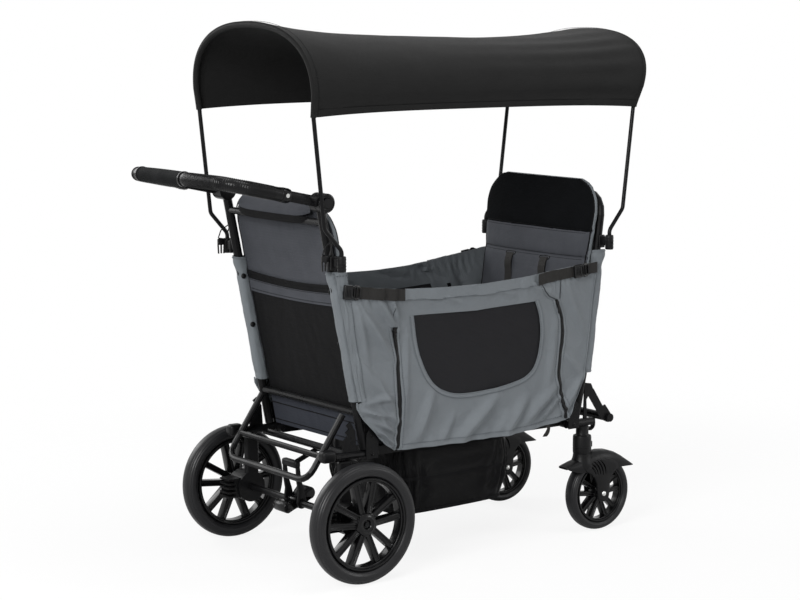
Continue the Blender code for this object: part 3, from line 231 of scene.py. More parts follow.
# nodes that stay as the CAD made them; # stands for left and right
cadFinishes = {
    powderCoat: (
        "rear_upright_frame rear_chassis_frame rear_axle_beam axle_brace front_chassis_frame "
        "front_upright_frame front_release_bar rear_release_bar rear_floor_frame front_floor_frame "
        "handle_arm_# rear_bow front_bow"
    ),
    gripSleeve: "handle_grip_tube",
    blackNylon: (
        "lever_block_# rear_axle_carrier_# axle_clamp brake_pedal swivel_lock_# hub_button_# "
        "rear_canopy_clip_# front_canopy_clip_#"
    ),
    boltSteel: "handle_snap_button_#",
    boardPlastic: "rear_floor_board front_floor_board",
}
for material, names in cadFinishes.items():
    for name in names.split():
        for node in {name.replace("#", side) for side in sides}:
            nodes[node].data.materials.clear()
            nodes[node].data.materials.append(material)
# Small sums


def clamp(value):
    return min(max(value, 0.0), 1.0)


def bell(offset, width):
    return math.exp(-((offset / width) ** 2))


def signedPower(value, power):
    return math.copysign(abs(value) ** power, value)


def spread(first, last, steps):
    # evenly spaced values from first to last, both counted
    return [first + (last - first) * i / steps for i in range(steps + 1)]


def turnTo(direction):
    # matrix that turns +Z to the direction
    return Vector((0, 0, 1)).rotation_difference(direction).to_matrix().to_4x4()


# Modelling helpers
def pick(obj):
    if bpy.context.object and bpy.context.object.mode != "OBJECT":
        leaveEdit()
    for other in bpy.context.selected_objects:
        other.select_set(False)
    obj.select_set(True)
    bpy.context.view_layer.objects.active = obj


def leaveEdit():
    bpy.ops.object.mode_set(mode="OBJECT")


def freeze(obj):
    pick(obj)
    bpy.ops.object.transform_apply(location=True, rotation=True, scale=True)


def editAll(obj, mode="VERT"):
    pick(obj)
    bpy.ops.object.mode_set(mode="EDIT")
    bpy.ops.mesh.select_mode(type=mode)
    bpy.ops.mesh.select_all(action="SELECT")
def editFaces(obj, test):
    # edit mode with only the faces whose middle and normal pass the test
    editAll(obj, "FACE")
    bpy.ops.mesh.select_all(action="DESELECT")
    mesh = bmesh.from_edit_mesh(obj.data)
    for face in mesh.faces:
        face.select = bool(test(face.calc_center_median(), face.normal))
    mesh.select_flush_mode()
    bmesh.update_edit_mesh(obj.data)


def pressIn(obj, *steps):
    # insets, one after the other, on the faces that look along y
    editFaces(obj, lambda middle, normal: abs(normal.y) > 0.7)
    for step in steps:
        bpy.ops.mesh.inset(**step, use_individual=True)
    leaveEdit()


def useModifier(obj, kind, **settings):
    pick(obj)
    modifier = obj.modifiers.new(kind.lower(), kind)
    for name, value in settings.items():
        setattr(modifier, name, value)
    bpy.ops.object.modifier_apply(modifier=modifier.name)
    return obj


def cutAway(pieces, tool):
    for piece in pieces:
        useModifier(piece, "BOOLEAN", object=tool, operation="DIFFERENCE", solver="EXACT")
    bpy.data.objects.remove(tool, do_unlink=True)
def rename(obj, name):
    obj.name = name
    obj.data.name = name
    return obj


def linked(name, data):
    # a new object in the scene
    obj = bpy.data.objects.new(name, data)
    bpy.context.scene.collection.objects.link(obj)
    return obj


def joinAll(objs, name):
    pick(objs[0])
    for obj in objs:
        obj.select_set(True)
    if len(objs) > 1:
        bpy.ops.object.join()
    return rename(bpy.context.object, name)


def copyWith(obj, name, matrix):
    # a copy with its own mesh, moved, turned or mirrored in place
    twin = obj.copy()
    twin.data = obj.data.copy()
    bpy.context.scene.collection.objects.link(twin)
    twin.data.transform(matrix)
    if matrix.determinant() < 0:
        twin.data.flip_normals()
    return rename(twin, name)


def mirrored(obj, name):
    freeze(obj)
    return copyWith(obj, name, Matrix.Scale(-1, 4, (0, 1, 0)))
def finishPiece(obj, materials, body, cadNodes=(), angle=40):
    freeze(obj)
    if isinstance(materials, bpy.types.Material):
        obj.data.materials.clear()
        materials = [materials]
        for polygon in obj.data.polygons:
            polygon.material_index = 0
    for material in materials:
        if material.name not in [m.name for m in obj.data.materials if m]:
            obj.data.materials.append(material)
    bpy.ops.object.shade_smooth_by_angle(angle=math.radians(angle))
    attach(obj, body)
    if cadNodes:
        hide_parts(*cadNodes)
    return obj


def fromPoints(name, points, faces, edges=()):
    mesh = bpy.data.meshes.new(name)
    mesh.from_pydata([tuple(p) for p in points], edges, faces)
    return linked(name, mesh)
def clothGrid(name, columns, rows, place, closed=False):
    # a sheet of square cells; place(u, v) gives each point
    wide = columns if closed else columns + 1
    points = [place(i / columns, j / rows) for j in range(rows + 1) for i in range(wide)]
    faces = []
    for j in range(rows):
        for i in range(columns):
            a, b = j * wide + i, j * wide + (i + 1) % wide
            faces.append((a, b, b + wide, a + wide))
    return fromPoints(name, points, faces)


def weld(obj, gap):
    editAll(obj)
    bpy.ops.mesh.remove_doubles(threshold=gap)
    leaveEdit()


def faceOut(obj, gap=0.00002):
    # closes the seams of a body and turns its faces outwards
    weld(obj, gap)
    editAll(obj)
    bpy.ops.mesh.normals_make_consistent(inside=False)
    leaveEdit()
    return obj


def roundedBox(name, size, centre, bevel, segments=2, tilt=0.0):
    bpy.ops.mesh.primitive_cube_add(size=1, location=centre, rotation=(0, tilt, 0))
    obj = rename(bpy.context.object, name)
    obj.scale = size
    freeze(obj)
    editAll(obj, "EDGE")
    bpy.ops.mesh.bevel(offset=bevel, segments=segments, affect="EDGES")
    leaveEdit()
    return obj


def rodAcross(name, vertices, radius, depth, spot):
    # a cylinder that lies along y
    bpy.ops.mesh.primitive_cylinder_add(
        vertices=vertices, radius=radius, depth=depth, location=spot, rotation=(math.pi / 2, 0, 0)
    )
    return rename(bpy.context.object, name)


def thinRing(name, segments, big, small, spot=(0, 0, 0)):
    bpy.ops.mesh.primitive_torus_add(
        major_segments=segments, minor_segments=6, major_radius=big, minor_radius=small, location=spot
    )
    return rename(bpy.context.object, name)


def spinRound(obj, centre, axis, steps):
    # spins a section round the axis that it was drawn for
    editAll(obj)
    spinAxis = (0, 1, 0) if axis == "Y" else (0, 0, 1)
    bpy.ops.mesh.spin(steps=steps, angle=2 * math.pi, center=centre, axis=spinAxis)
    return faceOut(obj)


def roundSection(name, centre, axis, ringR, halfDeep, halfWide, power=2.0, points=24, steps=64, dips=()):
    # a circle, squared off and grooved, spun round the axis
    bpy.ops.mesh.primitive_circle_add(vertices=points, radius=1, location=centre)
    obj = rename(bpy.context.object, name)
    for vert in obj.data.vertices:
        turn = math.atan2(vert.co.y, vert.co.x)
        dip = sum(depth for middle, half, depth in dips if abs(abs(math.degrees(turn)) - middle) < half)
        deep = signedPower(math.cos(turn), 2 / power) * (halfDeep - dip)
        wide = signedPower(math.sin(turn), 2 / power) * (halfWide - dip)
        vert.co = (0, wide, ringR + deep) if axis == "Y" else (ringR + deep, 0, wide)
    return spinRound(obj, centre, axis, steps)


def latheShape(name, centre, axis, profile, steps=48):
    # a half profile of (radius, height) spun round the axis
    points = [(0, h, r) if axis == "Y" else (r, 0, h) for r, h in profile]
    obj = fromPoints(name, points, [], [(i, i + 1) for i in range(len(points) - 1)])
    obj.location = centre
    return spinRound(obj, centre, axis, steps)


def bentTube(name, route, radius, sides=16, cyclic=False):
    curve = bpy.data.curves.new(name, "CURVE")
    curve.dimensions = "3D"
    curve.bevel_depth = radius
    curve.bevel_resolution = max(1, (sides - 4) // 2)
    curve.use_fill_caps = True
    spline = curve.splines.new("POLY")
    spline.points.add(len(route) - 1)
    spline.use_cyclic_u = cyclic
    for point, place in zip(spline.points, route):
        point.co = (*place, 1.0)
    pick(linked(name, curve))
    bpy.ops.object.convert(target="MESH")
    return rename(bpy.context.object, name)


def flatOutline(name, outlines, thickness, y, bevel=0.001):
    # an outline in x and z, cut from plate that stands across y, with softened edges
    curve = bpy.data.curves.new(name, "CURVE")
    curve.dimensions = "2D"
    curve.fill_mode = "BOTH"
    curve.extrude = thickness / 2 - bevel
    curve.bevel_depth = bevel
    curve.bevel_resolution = 1
    curve.offset = -bevel
    for outline in outlines:
        spline = curve.splines.new("POLY")
        spline.points.add(len(outline) - 1)
        spline.use_cyclic_u = True
        for point, (x, z) in zip(spline.points, outline):
            point.co = (axleX + x, z, 0, 1)
    obj = linked(name, curve)
    obj.rotation_euler = (math.pi / 2, 0, 0)
    obj.location = (0, y, 0)
    pick(obj)
    bpy.ops.object.convert(target="MESH")
    freeze(bpy.context.object)
    return faceOut(rename(bpy.context.object, name))
def arcPoints(centre, radius, start, end, steps):
    turns = [math.radians(start + (end - start) * i / steps) for i in range(steps + 1)]
    return [(centre[0] + radius * math.cos(a), centre[1] + radius * math.sin(a)) for a in turns]


def roundCorners(corners, radius, steps=6):
    corners = [Vector(c) for c in corners]
    route = [corners[0]]
    for before, corner, after in zip(corners, corners[1:], corners[2:]):
        back, ahead = (before - corner).normalized(), (after - corner).normalized()
        half = back.angle(ahead) / 2
        if half > 1.55:
            route.append(corner)
            continue
        middle = corner + (back + ahead).normalized() * radius / math.sin(half)
        start = corner + back * radius / math.tan(half) - middle
        end = corner + ahead * radius / math.tan(half) - middle
        route += [middle + start.slerp(end, i / steps) * radius for i in range(steps + 1)]
    route.append(corners[-1])
    return route


def resample(route, count, cyclic=False):
    # evenly spaced points along a route
    route = [Vector(p) for p in route]
    if cyclic:
        route = route + [route[0]]
    lengths = [0.0]
    for a, b in zip(route, route[1:]):
        lengths.append(lengths[-1] + (b - a).length)
    made, k = [], 0
    total = count if cyclic else count - 1
    for i in range(count):
        target = lengths[-1] * i / total
        while k < len(route) - 2 and lengths[k + 1] < target:
            k += 1
        span = lengths[k + 1] - lengths[k]
        made.append(route[k].lerp(route[k + 1], (target - lengths[k]) / span if span else 0))
    return made


def strapBand(name, centres, across, thickness, crown=0.0):
    # a flat band: centres along it, and the vector from its middle to one edge at each point
    points, faces = [], []
    for k, (centre, half) in enumerate(zip(centres, across)):
        ahead = centres[min(k + 1, len(centres) - 1)] - centres[max(k - 1, 0)]
        up = ahead.cross(half).normalized()
        for share in (-1, -0.5, 0, 0.5, 1):
            rise = crown * (1 - share * share)
            points.append(centre + half * share + up * (thickness / 2 + rise))
        for share in (1, 0.5, 0, -0.5, -1):
            points.append(centre + half * share - up * thickness / 2)
    for k in range(len(centres) - 1):
        for i in range(10):
            a, b = k * 10 + i, k * 10 + (i + 1) % 10
            faces.append((a, b, b + 10, a + 10))
    last = (len(centres) - 1) * 10
    faces += [tuple(range(10)), tuple(last + i for i in range(10))]
    return faceOut(fromPoints(name, points, faces))


def stitchRow(name, route, away, gap=0.0065, size=0.0042, thick=0.0007):
    # short threads one behind the other, lying on the cloth; away is the way that the cloth faces
    length = sum((b - a).length for a, b in zip(route, route[1:]))
    spots = resample(route, max(3, int(length / gap)))
    points, faces = [], []
    for a, b in zip(spots, spots[1:]):
        ahead = (b - a).normalized()
        up = away(a) if callable(away) else Vector(away)
        side = ahead.cross(up).normalized() * thick
        middle = (a + b) / 2
        base = len(points)
        for end in (-0.5, 0.5):
            root = middle + ahead * size * end
            points += [root - side, root + up * thick * 0.9, root + side, root - up * thick]
        faces += [(base + i, base + (i + 1) % 4, base + 4 + (i + 1) % 4, base + 4 + i) for i in range(4)]
        faces += [(base + 3, base + 2, base + 1, base), (base + 4, base + 5, base + 6, base + 7)]
    return faceOut(fromPoints(name, points, faces))


def ridge(x, z, line):
    # height of one crease: its two ends, half width and rise
    x0, z0, x1, z1, half, rise = line
    ax, az, length = x1 - x0, z1 - z0, math.hypot(x1 - x0, z1 - z0)
    along = ((x - x0) * ax + (z - z0) * az) / length**2
    off = ((x - x0) * az - (z - z0) * ax) / length
    if not -0.25 < along < 1.25:
        return 0.0
    fade = math.cos(min(1.0, max(-1.0, (along - 0.5) / 0.75)) * math.pi / 2)
    return rise * fade * bell(off, half)


# Frame lines that the soft parts follow


def rearPostX(z):
    return -0.065 + 0.206 * (0.93 - z)


def frontPostX(z):
    if z >= 0.43:
        return 0.772 + 0.131 * (z - 0.43)
    return 0.745 + 0.027 * (z - 0.3) / 0.13


# Wheels

wheelKinds = {
    "rear": {
        "x": 0.0, "y": 0.3, "z": 0.15, "radius": 0.15, "tyreDeep": 0.0365, "tyreWide": 0.046,
        "spokeWide": 0.0165, "hubR": 0.0285, "bandDeep": 0.0045,
    },
    "front": {
        "x": 0.835, "y": 0.206, "z": 0.101, "radius": 0.101, "tyreDeep": 0.0235, "tyreWide": 0.04,
        "spokeWide": 0.0125, "hubR": 0.0175, "bandDeep": 0.0035,
    },
    # grooves of the tread: middle and half width in degrees, depth
    "grooves": ((34, 2.2, 0.001), (61, 2.2, 0.0008), (112, 2.5, 0.0007)),
    # hub cap: shares of the hub's radius and of its height
    "cap": ((0.3, 0.7), (0.42, 0.94), (0.66, 1.0), (0.76, 0.9), (0.95, 0.86), (1.0, 0.7)),
}


def makeWheel(kind):
    w = wheelKinds[kind]
    centre = at(w["x"], w["y"], w["z"])
    deep, half, hubR, spokeWide = w["tyreDeep"] / 2, w["tyreWide"] / 2, w["hubR"], w["spokeWide"]
    ringR = w["radius"] - deep
    tyre = roundSection(kind + "Tyre", centre, "Y", ringR, deep, half, 2.25, 80, 112, wheelKinds["grooves"])
    inner = w["radius"] - w["tyreDeep"] - 0.0004
    bandDeep = w["bandDeep"]
    band = roundSection(kind + "Band", centre, "Y", inner - bandDeep, bandDeep, half * 0.66, 5, 28, 96)
    lip = roundSection(kind + "Lip", centre, "Y", inner - 0.0012, 0.0042, half * 0.86, 3.2, 20, 96)
    hubHigh = half * 0.92
    profile = [(0.0, hubHigh * 0.7), *((hubR * r, hubHigh * h) for r, h in wheelKinds["cap"])]
    profile += [(r, -h) for r, h in reversed(profile)]
    hub = latheShape(kind + "Hub", centre, "Y", profile, 60)
    reach = inner - bandDeep * 2 + 0.002
    bars = []
    for offset in (-1, 1):
        # one bar of a pair: it leaves the hub close to its twin and spreads towards the band
        start = Vector((offset * spokeWide * 0.52, 0, hubR * 0.75))
        lean = math.radians(14.5 * offset)
        end = Vector((math.sin(lean) * reach, 0, math.cos(lean) * reach))
        bpy.ops.mesh.primitive_cube_add(size=1, location=(0, 0, 0))
        bar = rename(bpy.context.object, f"{kind}Bar{offset}")
        bar.scale = (spokeWide, w["tyreWide"] * 0.54, (end - start).length)
        freeze(bar)
        for vert in bar.data.vertices:
            if vert.co.z < 0:
                vert.co.x *= 0.92
                vert.co.y *= 1.12
            else:
                vert.co.y *= 0.86
        pressIn(bar, {"thickness": spokeWide * 0.24}, {"thickness": 0.0009, "depth": -0.003})
        useModifier(bar, "BEVEL", width=0.0009, segments=2, limit_method="ANGLE", angle_limit=0.6)
        bar.data.transform(Matrix.Translation(centre + (start + end) / 2) @ turnTo(end - start))
        bars.append(bar)
    first = joinAll(bars, kind + "Pair")
    spokes = [first]
    for i in range(1, 5):
        about = Matrix.Translation(centre) @ Matrix.Rotation(math.radians(72 * i), 4, "Y")
        spokes.append(copyWith(first, f"{kind}Pair{i}", about @ Matrix.Translation(-centre)))
    lugs = []
    for i in range(5 if kind == "rear" else 0):
        turn = math.radians(72 * i + 36)
        spot = centre + Vector((math.sin(turn) * 0.0215, 0, math.cos(turn) * 0.0215))
        lug = rodAcross(f"hubLug{i}", 20, 0.0085, w["tyreWide"] * 0.74, spot)
        freeze(lug)
        pressIn(lug, {"thickness": 0.0018, "depth": 0.0012})
        lugs.append(lug)
    rim = joinAll([band, lip, hub, *spokes, *lugs], kind + "Rim")
    for side, sign in sides.items():
        body = f"{kind}_wheel_{side}"
        twinTyre = rename(tyre if sign > 0 else mirrored(tyre, "twin"), f"{kind}_tyre_{side}")
        twinRim = rename(rim if sign > 0 else mirrored(rim, "twin"), f"{kind}_rim_{side}")
        finishPiece(twinTyre, tyreRubber, body, [f"{kind}_wheel_tyre_{side}"], 50)
        finishPiece(twinRim, glossAbs, body, [f"{kind}_wheel_rim_{side}"], 35)
for kind in ("rear", "front"):
    makeWheel(kind)
print("wheels done")


# Front casters: helmet-shaped mudguard, two legs with slits, collar

caster = {
    "x": 0.835, "y": 0.206, "z": 0.101, "swivelX": 0.781,
    "halfWide": 0.03, "legY": 0.0262, "legThick": 0.006,
    "top": [
        (-0.121, 0.083), (-0.108, 0.088), (-0.092, 0.0935), (-0.076, 0.0975), (-0.062, 0.1015),
        (-0.045, 0.1085), (-0.025, 0.1145), (0.0, 0.117), (0.025, 0.1145), (0.048, 0.107), (0.068, 0.0965),
        (0.085, 0.085), (0.101, 0.0745), (0.116, 0.064),
    ],
    "low": [
        (-0.121, 0.081), (-0.114, 0.075), (-0.088, 0.066), (-0.057, 0.063), (-0.04, 0.061), (-0.02, 0.06),
        (0.0, 0.06), (0.02, 0.06), (0.038, 0.0605), (0.062, 0.066), (0.08, 0.0655), (0.098, 0.0645),
        (0.108, 0.064), (0.116, 0.0635),
    ],
    "leg": [
        (0.0215, 0.016), (0.0235, 0.032), (0.029, 0.046), (0.04, 0.058), (0.054, 0.066), (0.048, 0.08),
        (0.02, 0.094), (-0.01, 0.096), (-0.04, 0.088), (-0.066, 0.074), (-0.06, 0.066), (-0.044, 0.058),
        (-0.031, 0.045), (-0.024, 0.028),
    ],
    # foot and head of each slit
    "slits": [
        (-0.028, 0.056, -0.058, 0.083), (-0.02, 0.054, -0.047, 0.088), (-0.011, 0.052, -0.036, 0.092),
        (-0.002, 0.051, -0.025, 0.094), (0.007, 0.053, -0.014, 0.094),
    ],
    # half profiles of (radius, height)
    "collar": [
        (0.0, 0.172), (0.03, 0.174), (0.0315, 0.183), (0.0285, 0.194), (0.0252, 0.203), (0.0242, 0.2095),
        (0.0236, 0.2138), (0.0, 0.2138),
    ],
    "stem": [(0.0, 0.205), (0.008, 0.205), (0.008, 0.254), (0.0, 0.254)],
    "bolt": [(0, 0.005), (0.0032, 0.0046), (0.0056, 0.0034), (0.007, 0.0016), (0.0074, -0.001), (0, -0.001)],
    "barrel": [
        (0.0236, 0.2146), (0.0246, 0.216), (0.025, 0.23), (0.0243, 0.2306), (0.0243, 0.2318),
        (0.025, 0.2324), (0.0248, 0.258), (0.0236, 0.2628), (0.018, 0.265), (0.017, 0.2672),
        (0.0168, 0.288),
    ],
}


def alongLine(points, share):
    spot = share * (len(points) - 1)
    k = min(int(spot), len(points) - 2)
    (x0, z0), (x1, z1) = points[k], points[k + 1]
    return x0 + (x1 - x0) * (spot - k), z0 + (z1 - z0) * (spot - k)


def makeCasters():
    c = caster

    def shell(u, v):
        x0, z0 = alongLine(c["low"], u)
        x1, z1 = alongLine(c["top"], u)
        turn = (2 * v - 1) * math.pi / 2
        wide = c["halfWide"] * (0.5 + 0.5 * math.sin(math.pi * clamp(u)) ** 0.55)
        across = signedPower(math.sin(turn), 0.62)
        up = max(0.0, math.cos(turn)) ** 0.62
        return at(c["x"] + x0 + (x1 - x0) * up, c["y"] + wide * across, c["z"] + z0 + (z1 - z0) * up)

    guard = faceOut(clothGrid("guard", 72, 32, shell))
    useModifier(guard, "SOLIDIFY", thickness=0.0024, offset=-1)
    leg = arcPoints((c["x"], c["z"] - 0.002), 0.02, 188, 352, 16)
    leg += [(c["x"] + dx, c["z"] + dz) for dx, dz in c["leg"]]
    legs = [flatOutline(f"leg{s}", [leg], c["legThick"], c["y"] + s * c["legY"], 0.0016) for s in (-1, 1)]
    # curved slits that lean forward, cut through the guard's flanks and the legs
    for i, (x0, z0, x1, z1) in enumerate(c["slits"]):
        foot, head = Vector((c["x"] + x0, c["z"] + z0)), Vector((c["x"] + x1, c["z"] + z1))
        side = Vector((head.y - foot.y, foot.x - head.x)).normalized()
        line = [foot.lerp(head, k / 8) + side * 0.0052 * math.sin(math.pi * k / 8) for k in range(9)]
        half = [0.0004 + 0.0017 * math.sin(math.pi * (k + 0.6) / 9.2) for k in range(9)]
        edges = [[tuple(p + side * w * way) for p, w in zip(line, half)] for way in (1, -1)]
        slit = flatOutline(f"slit{i}", [edges[0] + edges[1][::-1]], 0.09, c["y"], 0.0001)
        cutAway([guard, *legs], slit)
    swivel = at(c["swivelX"], c["y"], 0)
    collar = latheShape("collar", swivel, "Z", c["collar"], 48)
    stem = latheShape("stem", swivel, "Z", c["stem"])
    fork = joinAll([guard, *legs, collar, stem], "caster_guard_left")
    twin = mirrored(fork, "caster_guard_right")
    for side, piece in (("left", fork), ("right", twin)):
        finishPiece(piece, blackNylon, f"caster_{side}", [f"caster_fork_{side}"], 38)
    outer = c["legY"] + c["legThick"] / 2
    for side, sign in sides.items():
        heads = []
        for face in (-1, 1):
            spot = at(c["x"], sign * c["y"] + face * outer, c["z"])
            dome = [(r, h * face) for r, h in c["bolt"]]
            heads.append(latheShape(f"bolt{side}{face}", spot, "Y", dome, 28))
        finishPiece(joinAll(heads, f"axle_bolt_{side}"), boltSteel, f"caster_{side}", ())
        # barrel of the swivel: smooth sleeve with a seam ring low down and a narrower neck
        barrel = latheShape(f"swivel_barrel_{side}", at(c["swivelX"], sign * c["y"], 0), "Z", c["barrel"])
        useModifier(barrel, "SOLIDIFY", thickness=0.0006, offset=-1)
        finishPiece(barrel, blackNylon, "front_frame", ())
makeCasters()
print("casters done")


# Cloth walls

wall = {
    "y": 0.2292,
    "cloth": 0.0016,
    "top": [
        (-0.06, 0.726), (-0.006, 0.725), (0.08, 0.7145), (0.17, 0.7045), (0.3, 0.7), (0.43, 0.7),
        (0.53, 0.705), (0.595, 0.7105), (0.65, 0.7175), (0.746, 0.726), (0.84, 0.7335),
    ],
    "hem": [(0.14, 0.3035), (0.252, 0.301), (0.38, 0.3), (0.51, 0.302), (0.611, 0.309), (0.7, 0.319)],
    "rearZip": [(0.152, 0.3), (0.156, 0.429), (0.15, 0.555), (0.141, 0.613), (0.139, 0.74)],
    "frontZip": [
        (0.7, 0.3), (0.699, 0.325), (0.693, 0.35), (0.682, 0.385), (0.675, 0.415), (0.673, 0.45),
        (0.678, 0.49), (0.685, 0.525), (0.687, 0.555), (0.682, 0.59), (0.671, 0.62), (0.662, 0.642),
        (0.659, 0.66), (0.659, 0.74),
    ],
    "cornerFlap": [(0.607, 0.699), (0.611, 0.682), (0.62, 0.6655), (0.638, 0.65), (0.668, 0.639)],
    "rearFoot": [
        (0.145, 0.303), (0.113, 0.322), (0.074, 0.362), (0.048, 0.391), (0.03, 0.42), (0.029, 0.434),
    ],
    "frontFoot": [(0.707, 0.319), (0.717, 0.34), (0.73, 0.368), (0.752, 0.408), (0.763, 0.439)],
    "window": [
        (0.202, 0.636), (0.212, 0.56), (0.236, 0.492), (0.272, 0.446), (0.338, 0.42), (0.455, 0.425),
        (0.552, 0.438), (0.588, 0.461), (0.606, 0.505), (0.612, 0.56), (0.606, 0.61), (0.593, 0.641),
        (0.4, 0.633),
    ],
    # x, z of both ends, half width and height of each crease
    "creases": [
        (0.215, 0.33, 0.256, 0.428, 0.014, 0.008),
        (0.285, 0.303, 0.33, 0.372, 0.013, 0.0045),
        (0.345, 0.303, 0.452, 0.396, 0.015, 0.0105),
        (0.455, 0.303, 0.505, 0.356, 0.011, 0.005),
        (0.49, 0.308, 0.558, 0.384, 0.013, 0.01),
        (0.552, 0.322, 0.66, 0.408, 0.013, 0.0095),
        (0.61, 0.326, 0.674, 0.38, 0.008, 0.006),
        (0.634, 0.4, 0.664, 0.58, 0.012, 0.004),
        (0.168, 0.35, 0.184, 0.58, 0.011, 0.0042),
        (0.252, 0.694, 0.34, 0.66, 0.009, 0.003),
        (0.42, 0.69, 0.52, 0.668, 0.009, 0.0026),
        (0.56, 0.694, 0.645, 0.655, 0.01, 0.004),
        (0.08, 0.7, 0.153, 0.6, 0.009, 0.0085),
        (0.052, 0.65, 0.132, 0.54, 0.011, 0.0085),
        (0.124, 0.7, 0.156, 0.626, 0.006, 0.0062),
        (0.024, 0.69, 0.06, 0.55, 0.009, 0.0048),
        (0.04, 0.53, 0.115, 0.43, 0.013, 0.006),
        (0.095, 0.48, 0.146, 0.372, 0.01, 0.0056),
        (0.695, 0.67, 0.755, 0.555, 0.013, 0.0046),
        (0.698, 0.49, 0.756, 0.428, 0.01, 0.005),
        (0.692, 0.35, 0.748, 0.424, 0.008, 0.007),
        (0.05, 0.41, 0.112, 0.392, 0.006, 0.006),
        (0.072, 0.384, 0.132, 0.352, 0.005, 0.0058),
        (0.096, 0.352, 0.14, 0.318, 0.005, 0.0048),
        (0.06, 0.43, 0.128, 0.44, 0.008, 0.0046),
    ],
}
# towards the rear zip: where the panel is held, and the length it keeps; foldIn takes them but only gives
# each piece its own mesh
panelFold = (0.145, 0.12)
outwardWay = (0, 1, 0)


def follow(points, value, axis=0):
    # reads a line of (x, z) points at an x, or at a z with axis 1
    pairs = sorted((p[axis], p[1 - axis]) for p in points)
    if value <= pairs[0][0]:
        return pairs[0][1]
    for (a, fa), (b, fb) in zip(pairs, pairs[1:]):
        if value <= b:
            return fa + (fb - fa) * (value - a) / (b - a)
    return pairs[-1][1]


def topZ(x):
    return follow(wall["top"], x)


def hemZ(x):
    return follow(wall["hem"], x)


def zipX(end, z):
    return follow(wall[end + "Zip"], z, 1)


def footX(end, z):
    return follow(wall[end + "Foot"], z, 1)


def smoothLoop(points, count, rounds=3):
    # the first and the last but one point stay as corners
    for _ in range(rounds):
        cut = [points[0]]
        for (ax, az), (bx, bz) in zip(points[:-2], points[1:-1]):
            cut.append((ax * 0.78 + bx * 0.22, az * 0.78 + bz * 0.22))
            cut.append((ax * 0.22 + bx * 0.78, az * 0.22 + bz * 0.78))
        points = [*cut, *points[-2:]]
    return [(p.x, p.z) for p in resample([Vector((x, 0, z)) for x, z in points], count, True)]


def wallRise(x, z):
    # how far the cloth stands out from the plane between its posts
    rise = 1.8 * sum(ridge(x, z, line) for line in wall["creases"])
    rise += 0.0058 * (noise.noise((x * 7 + z * 3, 1.0, z * 6)) + 0.4)
    rise += 0.0016 * noise.noise((x * 24 + z * 12, 5.0, z * 15))
    # drawn up in a bunch at the rear foot, and a little at the front foot
    bunch = bell(x - 0.1, 0.04) * bell(z - 0.372, 0.04)
    wave = (x * 0.75 + z) * 210 + 3 * noise.noise((x * 20, 2, z * 20))
    rise += 0.009 * bunch * (0.75 + 0.6 * math.sin(wave))
    drawn = bell(x - 0.705, 0.03) * bell(z - 0.352, 0.03)
    rise += 0.0045 * drawn * (0.7 + 0.5 * math.sin((x * 0.9 - z) * 230))
    # gathers hang from the strap where it pulls
    for middle in (0.06, 0.15, 0.6, 0.7):
        pull = bell(x - middle, 0.045) * bell(z - 0.69, 0.03)
        wave = (x - middle) * 260 + z * 110 + 4 * noise.noise((x * 14, 2.0, z * 14))
        rise += 0.0017 * pull * (1 + math.sin(wave))
    rise += 0.0032 * bell(z - hemZ(x), 0.022) * (1 + math.sin(x * 78 + 2.5 * noise.noise((x * 12, 0, 0))))
    return max(0.0, rise)


def onWall(x, z, lift=0.0):
    return at(x, wall["y"] + wallRise(x, z) + lift, z)


def onCloth(x, z, lift=0.0):
    # on the outside of the cloth
    return onWall(x, z, wall["cloth"] + lift)


def wallBand(name, spots, half, lift, thickness, crown=0.0):
    centres = [onCloth(x, z, lift) for x, z in spots]
    return strapBand(name, centres, [Vector(half)] * len(centres), thickness, crown)


def wallThread(name, spots, lift, *threadSize):
    return stitchRow(name, [onCloth(x, z, lift) for x, z in spots], outwardWay, *threadSize)


def thickened(obj, thickness, lining=None):
    # cloth with a back: the back may be another material
    settings = {"thickness": thickness, "offset": -1, "use_even_offset": False}
    if lining is not None:
        settings.update(material_offset=1, material_offset_rim=0)
    return useModifier(obj, "SOLIDIFY", **settings)


def outward(obj, direction):
    # an open sheet faces the way given
    total = sum((p.normal * p.area for p in obj.data.polygons), Vector())
    if total.dot(Vector(direction)) < 0:
        obj.data.flip_normals()
    return obj


def foldIn(obj, anchorX, keep):
    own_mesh(obj)


def bothWalls(
    obj, materials, body, cadNodes=(), fold=None, angle=60
):
    # finish a piece of the left wall and its mirror image
    pair = {"left": obj, "right": mirrored(obj, obj.name + "_right")}
    rename(obj, obj.name + "_left")
    # the far wall hangs a little deeper than the near one
    for vert in obj.data.vertices:
        share = clamp((vert.co.x - axleX - 0.02) / 0.76)
        vert.co.z -= 0.011 * math.sin(math.pi * share) ** 0.7 * clamp((vert.co.z - 0.44) / 0.26) ** 2
    for side, piece in pair.items():
        named = [n.replace("#", side) for n in cadNodes]
        finishPiece(piece, materials, body, named, angle)
        if fold:
            foldIn(piece, *fold)


